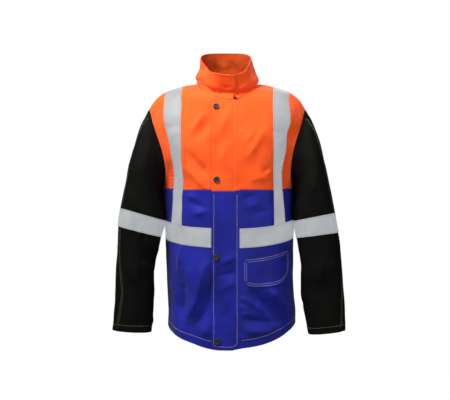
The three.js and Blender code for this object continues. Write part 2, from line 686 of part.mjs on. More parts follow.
// Reflective tape
const levelRow = (level) => lowerPlaces.findIndex((place) => Math.abs(place - level) < 1e-6);
const waistRows = [levelRow(TAPE_LOW), levelRow(TAPE_HIGH)];
const braceRows = [levelRow(TAPE_HIGH), Infinity];
const braceColumns = [INNER_CELLS, INNER_CELLS + TAPE_CELLS];
const allRows = [0, Infinity];
const flapColumns = { right: [0, 2], left: [0, 1] };
for (const name of Object.keys(SIDES)) {
  const columns = [flapColumns[name][1], Infinity];
  addTrim(`waist_tape_${name}`, cells(`front_${name}_lower`, waistRows, columns), SILVER, TAPE_WALL);
  const brace = [
    ...cells(`front_${name}_lower`, braceRows, braceColumns),
    ...cells(`front_${name}_upper`, allRows, braceColumns),
    ...cells(`back_${name}_upper`, allRows, braceColumns),
    ...cells(`back_${name}_lower`, braceRows, braceColumns),
  ];
  addTrim(`shoulder_tape_${name}`, brace, SILVER, TAPE_WALL);
  const places = placesOf(sleeveSections(name));
  const rows = [SLEEVE_TAPE.from, SLEEVE_TAPE.to].map((section) => places.indexOf(section));
  const band = [...cells(`${name}_sleeve_front`, rows), ...cells(`${name}_sleeve_back`, rows)];
  addTrim(`${name}_sleeve_tape`, band, SILVER, TAPE_WALL, 'sleeve');
}
const waistBack = [...cells('back_right_lower', waistRows), ...cells('back_left_lower', waistRows)];
addTrim('waist_tape_back', waistBack, SILVER, TAPE_WALL);

// Storm flap over the opening
const flapCells = (level, rows) =>
  Object.keys(SIDES).flatMap((name) => cells(`front_${name}_${level}`, rows, flapColumns[name]));
const flapUpper = flapCells('upper', [0, FRONT_CHEST_ROWS]);
const flapLower = flapCells('lower', allRows);
addTrim('storm_flap_upper', flapUpper, ORANGE, FLAP_WALL);
addTrim('storm_flap_lower', flapLower, BLUE, FLAP_WALL);

// The point of some cells that lies at x and z, seen from the front, and the direction outwards there
function pointOn(quads, x, z) {
  const target = vector(x, 0, z);
  const flat = (point) => vector(point.x, 0, point.z);
  for (const [a, b, c, d] of quads) {
    for (const corners of [[a, b, c], [a, c, d]]) {
      const triangle = new THREE.Triangle(...corners.map(flat));
      const shares = triangle.getBarycoord(target, vector());
      if (!shares || Math.min(...shares) < -1e-6) continue;
      const weigh = (sum, value, index) => sum.addScaledVector(value, shares.getComponent(index));
      const mixed = (values) => values.reduce(weigh, vector());
      const out = mixed(corners.map((corner) => outwards.get(placeOf('body', corner)))).normalize();
      return { point: mixed(corners), out };
    }
  }
  throw new Error(`no cell at ${x}, ${z}`);
}

// Pocket flap with rounded lower corners
function cornerRise(distance, radius) {
  if (distance >= radius) return 0;
  return radius - Math.sqrt(radius ** 2 - (radius - distance) ** 2);
}

function pocketGrid() {
  const panel = cells('front_left_lower');
  return Array.from({ length: POCKET.rows + 1 }, (_, r) =>
    Array.from({ length: POCKET.columns + 1 }, (__, c) => {
      const across = (1 - Math.cos((c / POCKET.columns) * Math.PI)) / 2;
      const x = lerp(POCKET.nearX, POCKET.farX, across);
      const near = cornerRise(x - POCKET.nearX, POCKET.nearRadius);
      const far = cornerRise(POCKET.farX - x, POCKET.farRadius);
      const bottom = POCKET.bottomZ + near + far;
      const sag = POCKET.topSag * Math.sin(across * Math.PI);
      const top = lerp(POCKET.topNearZ, POCKET.topFarZ, across) - sag;
      const z = lerp(bottom, top, r / POCKET.rows);
      const { point, out } = pointOn(panel, x, z);
      outwards.set(placeOf('pocket', point), out);
      return point;
    }),
  );
}
skins.pocket_flap = { grid: pocketGrid(), winding: 1 };
addTrim('pocket_flap', cells('pocket_flap'), BLUE, COTTON, 'pocket', POCKET_LIFT);

// Snaps: domed caps on the storm flap
const SNAP_PROFILE = [
  { radius: 0, height: 0 },
  { radius: 0.5, height: 0 },
  { radius: 0.5, height: 0.35 },
  { radius: 0.42, height: 0.75 },
  { radius: 0.22, height: 1 },
  { radius: 0, height: 1 },
];
for (const { name, x, z } of SNAPS) {
  const profile = SNAP_PROFILE.map(
    ({ radius, height }) => new THREE.Vector2(radius * SNAP_DIAMETER, height * SNAP_HEIGHT),
  );
  const geometry = new THREE.LatheGeometry(profile, SNAP_SEGMENTS);
  const { point, out } = pointOn([...flapLower, ...flapUpper], x, z);
  const foot = point.addScaledVector(out, 2 * LAYER_GAP + FLAP_WALL);
  geometry.applyQuaternion(new THREE.Quaternion().setFromUnitVectors(vector(0, 1, 0), out));
  geometry.translate(foot.x, foot.y, foot.z);
  addPiece(name, geometry, GUNMETAL);
}

export default group;
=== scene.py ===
"""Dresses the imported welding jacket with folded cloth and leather, tape, stitching and snaps, and lights it.

Metres, +Z up. The front faces -Y and the wearer's left arm is at +X. Sizes in the tables are millimetres.
A jacket has no joints, so every piece rides on the body "root".
"""

import math
from collections import namedtuple

import bmesh
import bpy
import numpy as np
from mathutils import Matrix, Vector, noise
from mathutils.bvhtree import BVHTree
from mathutils.kdtree import KDTree


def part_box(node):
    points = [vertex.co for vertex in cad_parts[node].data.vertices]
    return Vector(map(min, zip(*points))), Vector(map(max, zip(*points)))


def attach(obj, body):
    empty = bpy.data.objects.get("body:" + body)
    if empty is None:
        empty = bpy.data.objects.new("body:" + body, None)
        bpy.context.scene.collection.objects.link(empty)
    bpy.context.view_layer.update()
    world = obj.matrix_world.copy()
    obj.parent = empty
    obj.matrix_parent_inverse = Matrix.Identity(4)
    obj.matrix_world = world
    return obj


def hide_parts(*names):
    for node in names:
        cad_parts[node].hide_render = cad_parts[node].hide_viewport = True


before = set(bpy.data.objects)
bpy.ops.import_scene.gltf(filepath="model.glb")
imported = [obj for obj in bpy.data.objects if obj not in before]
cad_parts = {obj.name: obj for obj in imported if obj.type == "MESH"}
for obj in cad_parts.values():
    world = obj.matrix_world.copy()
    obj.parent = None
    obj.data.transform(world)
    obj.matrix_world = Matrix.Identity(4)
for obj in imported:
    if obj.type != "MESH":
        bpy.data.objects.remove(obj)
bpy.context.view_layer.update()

MM = 0.001
BODY = "root"

# The photograph's view: a level camera at chest height, with the frame moved down and a little left
CAMERA_PLACE = (0, -1800 * MM, -210 * MM)
FRAME_PIXELS = (450, 400)
AXIS_PIXEL = (228, 160)  # where the camera's axis meets the picture
SENSOR_WIDTH = 36
PIXEL_AT_ORIGIN = 2.8 * MM

# The studio. A light's place and its width are in metres, and its power is in watts.
WHITE = "#FFFFFF"
LIT_POINT = (0, 0, -300 * MM)
LIGHTS = {
    "key": {"place": (-1.13, -0.97, 1.94), "width": 1.2, "power": 138},
    "fill": {"place": (1.5, -2.2, 0.1), "width": 1.6, "power": 30},
    "back": {"place": (0.5, 2.6, 0.6), "width": 1.8, "power": 50},
}
SKY_LIGHT = 0.16  # the sky's strength on the jacket
SKY_SEEN = 1.0  # the sky's strength as the picture's white background
FLOOR_GLOW = 1.0
FLOOR_DROP = 1450 * MM  # a wearer's shoulders are this high above the floor
FLOOR_RADIUS = 30
FLOOR_SIDES = 64

# The sewn shells. Each is smoothed as one surface, so that the cloth runs on across its seams.
SHELLS = {
    "body": {
        "panels": (
            "front_right_upper",
            "front_right_lower",
            "front_left_upper",
            "front_left_lower",
            "back_upper",
            "back_lower",
        ),
        "trims": (
            "shoulder_tape_right",
            "shoulder_tape_left",
            "waist_tape_right",
            "waist_tape_left",
            "waist_tape_back",
            "storm_flap_upper",
            "storm_flap_lower",
        ),
    },
    "right_sleeve": {
        "panels": ("right_sleeve_front", "right_sleeve_back"),
        "trims": ("right_sleeve_tape",),
    },
    "left_sleeve": {
        "panels": ("left_sleeve_front", "left_sleeve_back"),
        "trims": ("left_sleeve_tape",),
    },
    "collar": {"panels": ("collar",), "trims": ()},
}
FLAPS = ("storm_flap_upper", "storm_flap_lower")
TAPES = [trim for parts in SHELLS.values() for trim in parts["trims"] if trim not in FLAPS]
SLEEVES = SHELLS["right_sleeve"]["panels"] + SHELLS["left_sleeve"]["panels"]
SMOOTH_LEVELS = 3
UNWRAP_MARGIN = 0.01

# How the skins are taken from the solids
MERGE = 0.01 * MM
RIM_WIDTH = 2.8 * MM  # a face with an edge this short is a wall's rim
SEAM_REACH = 1.2 * MM  # panels' edges this close are sewn into one shell
COVER_REACH = 4 * MM  # a trim lies on the cells that are this close to it,
COVER_ASIDE = 1 * MM  # and no more than this beside it
MIDDLE_HALF = 12.5 * MM  # the line down the middle of the back lies within this of X = 0

# Walls, and the layers over them
WALLS = {"orange_cotton": 1.6, "blue_cotton": 1.6, "black_leather": 2.0}
TAPE_WALL = 0.45
TAPE_WIDTH = 50
FLAP_WALL = 1.8
LAYER_GAP = 0.25
POCKET_LIFT = 1.0  # from the panel to the pocket flap
IN_FRONT = -1000 * MM  # a Y in front of the whole jacket
RIM_ANGLE = math.radians(60)  # an edge this sharp isn't smoothed over
SEAM_SINK = 0.9  # seams are drawn in by their thread

# The storm flap. Its wall thins into the seam at its sewn edge, and it stands off the panel towards its free
# edge. It is let down at the seam between the colours, and drawn up at its hem.
FLAP_SEWN_X = 27
FLAP_FREE_X = -43
FLAP_RAISE = 2.2
FLAP_LEAST_GAP = 0.05
FLAP_THIN = 0.08  # of the wall, at the sewn edge
FLAP_THIN_SHARE = 0.35  # of the flap's width
FLAP_DROPS = ((-288, 45, 4), (-704, 22, -3))  # height, reach, and how far the flap is let down there
TRIM_WIDTHS = dict.fromkeys(TAPES, TAPE_WIDTH) | dict.fromkeys(FLAPS, FLAP_SEWN_X - FLAP_FREE_X)

# The flap's lower corner at its sewn edge rises across this X and this height
FLAP_CORNER_RISE = 4.5
FLAP_CORNER_X = (14, 25)
FLAP_CORNER_Z = (-702, -684)

# The fronts' hem rises beside and under the flap
HEM_PANELS = ("front_right_lower", "front_left_lower")
HEM_RISE = 3.5
HEM_RISE_Z = -694
HEM_RISE_REACH = 55

# Sides that a line can be seen from: the axis and sign that face the viewer, and the axes of its path
VIEWS = {
    "front": {"axis": 1, "sign": -1, "flat": (0, 2)},
    "back": {"axis": 1, "sign": 1, "flat": (0, 2)},
    "right": {"axis": 0, "sign": -1, "flat": (1, 2)},
    "left": {"axis": 0, "sign": 1, "flat": (1, 2)},
}
FACING = (0.05, 0.45)  # a line fades out where the surface turns away from the viewer
LINE_SAMPLES = 40
FOLD_POWER = 1.45  # 2 makes round folds, 1 makes sharp ones

# A line on the cloth: the side it is seen from, the width it fades out over, its path, and its power
Line = namedtuple("Line", "view width path power", defaults=[FOLD_POWER])

# Cloth drawn along its own surface. A path's columns are its two places in its view, and how far the cloth
# there is drawn along each of the two.
DRAWS = {
    "body": [
        # Outer edges of the shoulder tapes, where the armholes draw the cloth in
        Line("front", 26, [
            (-172, -40, -4, 0), (-170, -90, -7, 0), (-169, -123, -9, 0), (-167, -160, 0, 0),
            (-165, -206, 6, 0), (-163, -256, 13, 0), (-161, -322, 8, 0), (-160, -390, 1, 0)]),
        Line("front", 26, [
            (174, -42, -2, 0), (173, -112, 5, 0), (170, -150, -2, 0), (168, -189, -4, 0),
            (166, -215, -12, 0), (163, -245, -15, 0), (161, -290, -14, 0), (159, -340, -8, 0),
            (158, -390, -6, 0)]),
        # Inner edges of the shoulder tapes
        Line("front", 13, [(-117, -222, 0, 0), (-117, -262, 4, 0), (-117, -305, 0, 0)]),
        Line("front", 14, [(122, -30, -4, 0), (122, -120, -5, 0), (122, -190, -3, 0), (122, -270, 0, 0)]),
        # The right front's hem hangs low beside the flap
        Line("front", 22, [(-90, -690, 0, 0), (-30, -696, 0, -3), (10, -696, 0, -3)]),
        # The seam between the colours rises at the sides, and the waist tape hangs low at the right
        Line("front", 24, [(-185, -292, 0, 8), (-165, -290, 0, 2)]),
        Line("front", 24, [(185, -292, 0, 9), (160, -290, 0, 2)]),
        Line("front", 30, [(-180, -400, 0, -7), (-120, -405, 0, -4)]),
    ],
}

# Folds. A path's columns are its two places in its view, and the fold's height there.
FOLDS = {
    "body": [
        # Pleats beside the shoulder tapes
        Line("front", 11, [
            (-172, -110, 0), (-164, -150, -3), (-152, -200, -5), (-146, -256, -5), (-150, -322, -3),
            (-156, -380, 0)]),
        Line("front", 11, [
            (176, -110, 0), (166, -145, -3), (158, -205, -3), (144, -240, -4), (142, -305, -3),
            (152, -380, 0)]),
        Line("front", 8, [(-172, -118, 0), (-150, -124, -4), (-122, -118, 0)]),
        Line("front", 8, [(-160, -168, 0), (-146, -146, 4), (-128, -128, 0)]),
        Line("front", 8, [(118, -128, 0), (142, -136, -4), (176, -126, 0)]),
        Line("front", 9, [(122, -168, 0), (144, -160, 4), (160, -150, 0)]),
        Line("front", 7, [(130, -236, 0), (148, -222, 4), (166, -206, 0)]),
        # Chest
        Line("front", 9, [(-54, -76, 0), (-66, -94, 6), (-79, -112, 8), (-92, -134, 5), (-106, -158, 0)]),
        Line("front", 12, [(-52, -100, 0), (-62, -128, -6), (-80, -160, 0)]),
        Line("front", 13, [(-116, -180, 0), (-92, -208, -8), (-66, -238, -8), (-50, -258, 0)]),
        Line("front", 10, [(-118, -222, 0), (-96, -244, 5), (-72, -270, 4), (-56, -286, 0)]),
        Line("front", 11, [(106, -120, 0), (90, -140, 4), (66, -180, 5), (44, -212, 0)]),
        Line("front", 7, [(72, -128, 0), (56, -150, 5), (38, -174, 0)]),
        Line("front", 7, [(86, -246, 0), (100, -236, -4), (118, -228, 0)]),
        Line("front", 7, [(98, -250, 0), (106, -244, 3), (118, -240, 0)]),
        Line("front", 11, [(50, -262, 0), (82, -258, 4), (112, -256, 0)]),
        # Storm flap
        Line("front", 10, [(6, -70, 0), (-10, -110, 6), (-24, -152, 0)]),
        Line("front", 9, [(-4, -162, 0), (-14, -204, 6), (0, -244, 0)]),
        Line("front", 9, [(-36, -150, 0), (-28, -170, -3), (-20, -190, 0)]),
        Line("front", 9, [(24, -452, 0), (4, -466, 5), (-34, -484, 0)]),
        Line("front", 8, [(24, -498, 0), (4, -502, -5), (-36, -512, 0)]),
        Line("front", 11, [(24, -518, 0), (6, -530, 5), (-32, -552, 0)]),
        Line("front", 14, [(10, -570, 0), (0, -610, -4), (4, -650, 0)]),
        # Above the waist tape
        Line("front", 8, [(-106, -317, 0), (-80, -328, -4), (-50, -338, 0)]),
        Line("front", 9, [(-100, -353, 0), (-72, -347, 4), (-46, -338, 0)]),
        Line("front", 9, [(-112, -300, 0), (-96, -306, 4), (-76, -308, 0)]),
        Line("front", 8, [(34, -316, 0), (55, -307, -3), (78, -297, 0)]),
        Line("front", 9, [(34, -336, 0), (62, -328, 3), (92, -318, 0)]),
        Line("front", 8, [(60, -352, 0), (84, -346, -3), (110, -342, 0)]),
        # Skirt on the wearer's right
        Line("front", 10, [
            (-40, -464, 0), (-54, -480, 4), (-66, -498, 5), (-76, -540, 7), (-84, -578, 8), (-104, -612, 6),
            (-114, -642, 0)]),
        Line("front", 12, [
            (-42, -510, 0), (-48, -550, -5), (-54, -584, -8), (-62, -606, -8), (-84, -638, -6),
            (-98, -662, 0)]),
        Line("front", 7, [(-124, -436, 3), (-127, -470, 8), (-131, -520, 0)]),
        Line("front", 20, [(-114, -500, 0), (-122, -550, -12), (-126, -600, -15), (-126, -650, 0)]),
        Line("front", 12, [(-76, -676, 0), (-60, -652, 6), (-44, -620, 0)]),
        # Skirt on the wearer's left
        Line("front", 12, [(96, -530, 0), (118, -558, 9), (140, -590, 9), (160, -618, 0)]),
        Line("front", 14, [(50, -546, 0), (72, -562, -6), (94, -586, -9), (112, -612, -7), (128, -632, 0)]),
        Line("front", 9, [(36, -562, 0), (58, -576, 6), (80, -594, 6), (100, -612, 0)]),
        Line("front", 9, [(34, -618, 0), (70, -626, -7), (110, -634, -7), (146, -632, 0)]),
        Line("front", 12, [(30, -648, 0), (60, -652, 5), (106, -654, 4), (150, -640, 0)]),
        Line("front", 6, [(27, -566, 0), (36, -568, 3), (52, -573, 0)]),
        Line("front", 6, [(27, -588, 0), (36, -590, 3), (54, -598, 0)]),
        Line("front", 7, [(27, -606, 0), (40, -606, 3), (62, -610, 0)]),
        Line("front", 6, [(27, -668, 0), (38, -668, 3), (56, -672, 0)]),
        # Sides, against the sleeves
        Line("right", 45, [(-15, -280, 0), (-15, -300, 5), (-15, -350, 4), (-15, -410, 0)]),
        Line("left", 45, [(-15, -280, 0), (-15, -300, 5), (-15, -350, 5), (-15, -420, 0)]),
        # Back
        Line("back", 16, [(-110, -120, 0), (-70, -170, 6), (-30, -260, 0)]),
        Line("back", 16, [(115, -110, 0), (80, -170, 6), (40, -250, 0)]),
        Line("back", 12, [(-120, -330, 0), (-60, -345, -6), (10, -335, 0)]),
        Line("back", 12, [(30, -350, 0), (80, -335, -6), (130, -345, 0)]),
        Line("back", 18, [(-60, -470, 0), (-80, -560, 9), (-95, -660, 5)]),
        Line("back", 18, [(50, -480, 0), (70, -570, 9), (100, -660, 4)]),
        Line("back", 16, [(0, -480, 0), (-8, -580, -8), (5, -670, -4)]),
    ],
    "right_sleeve": [
        Line("front", 14, [(-204, -96, 0), (-216, -200, 5), (-230, -325, 0)]),
        Line("front", 10, [(-208, -160, 0), (-202, -225, 5), (-194, -290, 0)]),
        Line("front", 11, [(-266, -465, 0), (-246, -520, 5), (-226, -565, 0)]),
        Line("front", 11, [(-240, -430, 0), (-222, -470, -5), (-205, -490, 0)]),
        Line("left", 45, [(-25, -260, 0), (-25, -296, 5), (-30, -340, 7), (-40, -385, 5), (-50, -415, 0)]),
        Line("left", 20, [(-100, -446, 0), (-70, -452, 4), (-30, -456, 0)]),
        Line("left", 12, [(-105, -506, 0), (-75, -510, -3), (-40, -514, 0)]),
        Line("left", 8, [(-110, -640, 0), (-80, -642, 4), (-40, -644, 0)]),
        Line("front", 6, [(-245, -372, 0), (-246, -405, -4), (-245, -440, 0)]),
        Line("front", 6, [(-224, -380, 0), (-221, -410, -4), (-216, -445, 0)]),
        Line("front", 7, [(-234, -376, 0), (-233, -408, 3), (-230, -442, 0)]),
        Line("back", 14, [(-215, -200, 0), (-235, -300, 6), (-240, -360, 0)]),
        Line("back", 12, [(-280, -430, 0), (-250, -470, -6), (-220, -480, 0)]),
    ],
    "left_sleeve": [
        Line("front", 12, [(236, -220, 0), (224, -280, 5), (208, -335, 0)]),
        Line("front", 13, [(212, -105, 0), (226, -200, 5), (242, -300, 0)]),
        Line("front", 12, [(262, -440, 0), (246, -500, 5), (232, -560, 0)]),
        Line("right", 45, [(-25, -260, 0), (-25, -296, 5), (-30, -340, 7), (-40, -400, 6), (-50, -440, 0)]),
        Line("front", 3, [(208, -376, 0), (206, -392, -4), (204, -424, -4), (203, -440, 0)]),
        Line("right", 14, [(-100, -490, 0), (-70, -496, -3), (-30, -500, 0)]),
        Line("right", 10, [(-105, -590, 0), (-80, -596, -5), (-45, -600, 0)]),
        Line("back", 14, [(215, -190, 0), (235, -290, 6), (242, -350, 0)]),
        Line("back", 12, [(280, -430, 0), (250, -475, -6), (220, -485, 0)]),
    ],
    "collar": [
        # A crease above the foot, which flares out to its seam, and a rim that leans out over it
        Line("front", 6, [(-84, 6, 0), (-62, -12, -5), (-44, -26, -9)]),
        Line("front", 13, [(-46, -24, -8), (-24, -28, -14), (-4, -29, -14), (14, -29, -12)], power=1.1),
        Line("front", 7, [(86, 4, 0), (60, -14, -7), (36, -28, -9), (22, -33, -10)]),
        Line("front", 19, [
            (-60, 36, 0), (-46, 28, 6), (-24, 17, 12), (4, 13, 12), (24, 17, 10), (44, 27, 5),
            (60, 38, 0)], power=1.0),
        # Creases along the foot of the left end
        Line("front", 4, [(78, 8, 0), (56, -6, 3), (32, -22, 3)]),
        Line("front", 3, [(70, -12, 0), (50, -26, -2), (32, -38, 0)]),
        # Small creases of the right end
        Line("front", 4, [(-40, -22, 0), (-28, -30, -4), (-14, -34, 0)]),
        Line("front", 4, [(-22, -10, 0), (-4, -18, -3), (8, -14, 0)]),
        Line("front", 4, [(-12, -24, 0), (2, -22, 3), (12, -26, 0)]),
        # Sides: a tuck over a swelling on the right, and a swelling above the foot on the left
        Line("right", 8, [(-60, 33, 0), (-30, 39, -5), (20, 47, -3), (40, 51, 0)], power=1.2),
        Line("right", 9, [(-60, 12, 0), (-30, 17, 4), (20, 24, 4), (40, 28, 0)]),
        Line("right", 4, [(-60, 4, 0), (-30, 9, -3), (20, 14, -2), (40, 18, 0)]),
        Line("left", 14, [(-40, 38, 0), (0, 44, 3), (30, 50, 0)]),
        Line("left", 9, [(-50, 4, 0), (-14, 10, 4), (20, 18, 3), (40, 22, 0)]),
        # Slanting folds inside
        Line("back", 9, [(-52, 80, 0), (-38, 60, 5), (-16, 24, 5), (-8, 8, 0)]),
        Line("back", 9, [(-22, 80, 0), (-8, 60, -5), (12, 24, -5), (20, 8, 0)]),
        Line("back", 10, [(10, 80, 0), (22, 60, 4), (40, 24, 4), (48, 8, 0)]),
    ],
}

# Small wrinkles of each shell: their size along X and Y, their size along Z, and their height
WRINKLES = {
    "body": [(55, 80, 2.4), (24, 32, 1.0)],
    "right_sleeve": [(45, 90, 2.6), (18, 30, 0.9)],
    "left_sleeve": [(45, 90, 2.6), (18, 30, 0.9)],
    "collar": [(40, 30, 1.4), (18, 14, 0.6)],
}

# The front of the neckline sags about this X and height
NECK_SAG = 3.5
NECK_SAG_PLACE = (5, -50)
NECK_SAG_REACH = (45, 16)

# The collar's ends: the right one laps over the left, and they stand apart at their foot
COLLAR_ENDS = ((-48.7, 19), (14.1, 16.5))  # heights, and the X between the two ends there
COLLAR_END_REACH = 22
COLLAR_APART = (-47, -23)  # from the foot to the height where the ends meet
COLLAR_FOOT_MOVES = {"right": -4, "left": 6}
COLLAR_LAP_MOVES = {"right": 2, "left": -5}
COLLAR_LAP_RAISE = 2.6

# Seams between the shells
JOIN_REACH = 4 * MM  # edges of two shells that are this close are sewn together
JOIN_FADE = 9 * MM  # folds fade out within this distance of such an edge

# Stitching. A real stitch is about 3 mm of 0.5 mm thread: these are coarser, so that they show.
STITCH_LENGTH = 4.0
STITCH_GAP = 1.2
STITCH_WIDTH = 1.1
STITCH_HEIGHT = 0.8
STITCH_SIDES = 6
# Rings along a stitch: their place as a share of its length, and their thickness as a share of its width
STITCH_RINGS = ((-0.5, 0.4375), (-0.36, 1.0), (0.36, 1.0), (0.5, 0.4375))
RUN_CLEARANCE = 0.9  # a run stops where another edge is nearer than this share of its distance
RUN_OVERLAP = 3  # points that a closed edge's run goes on past its start
EDGE_FACING = 0.7  # an edge is a side or a foot where its inward direction has this much of X or Z
LEVEL_REACH = 15 * MM  # places of an edge this close in height are at one level
OUTSIDE = 3 * MM  # beyond every sheet's outer face
HIDDEN_REACH = 3 * MM  # a stitch this close under a trim is left out

# Runs of stitches in each thread: their pieces, their distance from an edge, and which edges are sewn
RUNS = {
    "orange_thread": (
        (("collar",), 6, "all"),
        (("storm_flap_upper",), 6.5, "sides"),
    ),
    "pale_thread": (
        (("storm_flap_lower",), 6.5, "sides"),
        (("storm_flap_lower",), 9, "foot"),
        (("front_right_lower", "front_left_lower", "back_lower"), 20, "foot"),
        (("pocket_flap",), 2.5, "all"),
        (("pocket_flap",), 8, "all"),
    ),
    "olive_thread": (
        (SLEEVES, 17, "foot"),
        (SLEEVES, 4.5, "outer"),
    ),
    "grey_thread": ((TAPES, 2.5, "all"),),
}

# Snaps. The steps are insets of the cap's top from its rim to its middle: the width and the rise of each.
SNAPS = ("snap_top", "snap_chest", "snap_waist", "snap_hem")
SNAP_RADIUS = 8.2
SNAP_HEIGHT = 3.0
SNAP_SIDES = 48
SNAP_BEVEL = 1.1
SNAP_BEVEL_SEGMENTS = 4
SNAP_STEPS = ((1.7, 0), (0.5, -0.7), (1.6, 0.35), (1.8, 0.15))

# Finishes. Patches, grains and depths are in millimetres.
PATCH_RANGE = (0.35, 0.65)  # noise is spread from this range, or the next one, to the range from 0 to 1
RUB_AND_PAINTED_GLOW_RANGE = (0.32, 0.68)
DYE_PATCH = 70
DRILL_WAVES = 330  # ribs about 1.4 mm apart: drill has ribs of 0.5 mm, coarsened to show in a picture
DRILL_DEPTH = 0.25
SLUB_SIZE = 2.2
CRUMPLE_SIZE = 34
CRUMPLE_DEPTH = 2.5
WEAR_PATCH = 40
GRAIN_SIZE = 3.0
GRAIN_DEPTH = 0.5
NAP_SIZE = 1.4
RUB_AND_PAINTED_GLOW_PATCH = 55
BEAD_SIZE = 1.2  # real beads are 0.05 mm across, coarsened to show in a picture
BEAD_DEPTH = 0.5
CREASE_SIZE = 16
CREASE_SHARE = 8.0  # how much higher creases stand than beads
TARNISH_PATCH = 3.0
TWIST_SIZE = 1.2
SHINE_RANGE = (0.3, 0.7)  # noise is spread from this range to a range of roughness


def hold(*objects):
    """Selects these objects alone, the last of them active."""
    bpy.ops.object.select_all(action="DESELECT")
    for obj in objects:
        obj.select_set(True)
        bpy.context.view_layer.objects.active = obj


def new_object(name, data):
    obj = bpy.data.objects.new(name, data)
    bpy.context.scene.collection.objects.link(obj)
    return obj


def apply_modifier(obj, kind, **settings):
    modifier = obj.modifiers.new(kind.lower(), kind)
    for setting, value in settings.items():
        setattr(modifier, setting, value)
    hold(obj)
    bpy.ops.object.modifier_apply(modifier=modifier.name)


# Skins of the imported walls


def islands(skin):
    """The faces of a bmesh in connected groups."""
    seen = set()
    found = []
    for seed in skin.faces:
        if seed in seen:
            continue
        seen.add(seed)
        group = [seed]
        for face in group:
            for edge in face.edges:
                for other in edge.link_faces:
                    if other not in seen:
                        seen.add(other)
                        group.append(other)
        found.append(group)
    return found


def outwardness(group):
    """Large for the outer face of a bent wall, and negative for its inner face."""
    centres = [face.calc_center_median() for face in group]
    middle = sum(centres, Vector()) / len(group)
    return sum(face.normal.dot(centre - middle) * face.calc_area() for face, centre in zip(group, centres))


def outer_skin(node):
    """The outer face of a node's wall, as a bmesh of triangles."""
    skin = bmesh.new()
    skin.from_mesh(node.data)
    bmesh.ops.remove_doubles(skin, verts=skin.verts, dist=MERGE)
    rim = [face for face in skin.faces if min(edge.calc_length() for edge in face.edges) < RIM_WIDTH]
    bmesh.ops.delete(skin, geom=rim, context="FACES")
    outer = set(max(islands(skin), key=outwardness))
    bmesh.ops.delete(skin, geom=[face for face in skin.faces if face not in outer], context="FACES")
    return skin


def on_middle(edge):
    """Whether an edge lies on the line down the middle of the back."""
    return all(abs(vert.co.x) < MIDDLE_HALF and vert.co.y > 0 for vert in edge.verts)


def next_diagonal(diagonal, edge, other):
    """The diagonal of a triangle's neighbour in a grid whose cells are all cut the same way."""
    if edge is diagonal:
        return edge
    start = next(vert for vert in edge.verts if vert not in diagonal.verts)
    return next(side for side in other.edges if side is not edge and start in side.verts)


def spread_diagonals(seed, diagonal):
    """The diagonals of all triangles on a seed's side of the middle, if the seed has this diagonal."""
    found = {seed: diagonal}
    group = [seed]
    for face in group:
        for edge in face.edges:
            if on_middle(edge):
                continue
            for other in edge.link_faces:
                if other not in found:
                    found[other] = next_diagonal(found[face], edge, other)
                    group.append(other)
    return found


def open_diagonals(diagonals):
    """How many diagonals lie on a sheet's open edge, which a cell's true diagonal never does."""
    return sum(edge.is_boundary for edge in diagonals.values())


def join_into_cells(skin):
    """Turns a grid of triangles back into its four-sided cells."""
    diagonals = {}
    for seed in skin.faces:
        if seed not in diagonals:
            choices = [spread_diagonals(seed, edge) for edge in seed.edges]
            diagonals |= min(choices, key=open_diagonals)
    bmesh.ops.dissolve_edges(skin, edges=list(dict.fromkeys(diagonals.values())), use_verts=False)


def tag_covers(shell, trims):
    """Marks the cells that lie under each trim, counted from 1."""
    cover = shell.faces.layers.int.new("cover")
    for index, trim in enumerate(trims):
        skin = outer_skin(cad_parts[trim])
        tree = BVHTree.FromBMesh(skin)
        skin.free()
        for face in shell.faces:
            centre = face.calc_center_median()
            place = tree.find_nearest(centre, COVER_REACH)[0]
            if place is None:
                continue
            aside = (place - centre) - face.normal * face.normal.dot(place - centre)
            if aside.length < COVER_ASIDE:
                face[cover] = index + 1


def unwrap(obj):
    """Lays each panel flat in its UV map, in metres, with the cloth's grain along V."""
    hold(obj)
    bpy.ops.object.mode_set(mode="EDIT")
    bpy.ops.mesh.select_all(action="SELECT")
    bpy.ops.uv.unwrap(method="ANGLE_BASED", margin=UNWRAP_MARGIN)
    bpy.ops.object.mode_set(mode="OBJECT")
    mesh = obj.data
    layer = mesh.uv_layers.active.data
    panel_of = [value.value for value in mesh.attributes["panel"].data]
    for panel in set(panel_of):
        faces = [face for face in mesh.polygons if panel_of[face.index] == panel]
        loops = [loop for face in faces for loop in face.loop_indices]
        flat = np.array([layer[loop].uv for loop in loops])
        height = np.array([mesh.vertices[mesh.loops[loop].vertex_index].co.z for loop in loops])
        flat -= flat.mean(axis=0)
        rise = flat.T @ (height - height.mean())
        turn = math.pi / 2 - math.atan2(rise[1], rise[0])
        turned = flat @ np.array([[math.cos(turn), math.sin(turn)], [-math.sin(turn), math.cos(turn)]])
        scale = math.sqrt(sum(face.area for face in faces) / flat_area(layer, faces))
        for loop, place in zip(loops, turned * scale):
            layer[loop].uv = place


def flat_area(layer, faces):
    """The area that some faces have in the UV map."""
    total = 0
    for face in faces:
        ring = np.array([layer[loop].uv for loop in face.loop_indices])
        after = np.roll(ring, -1, axis=0)
        total += abs(np.sum(ring[:, 0] * after[:, 1] - ring[:, 1] * after[:, 0])) / 2
    return total


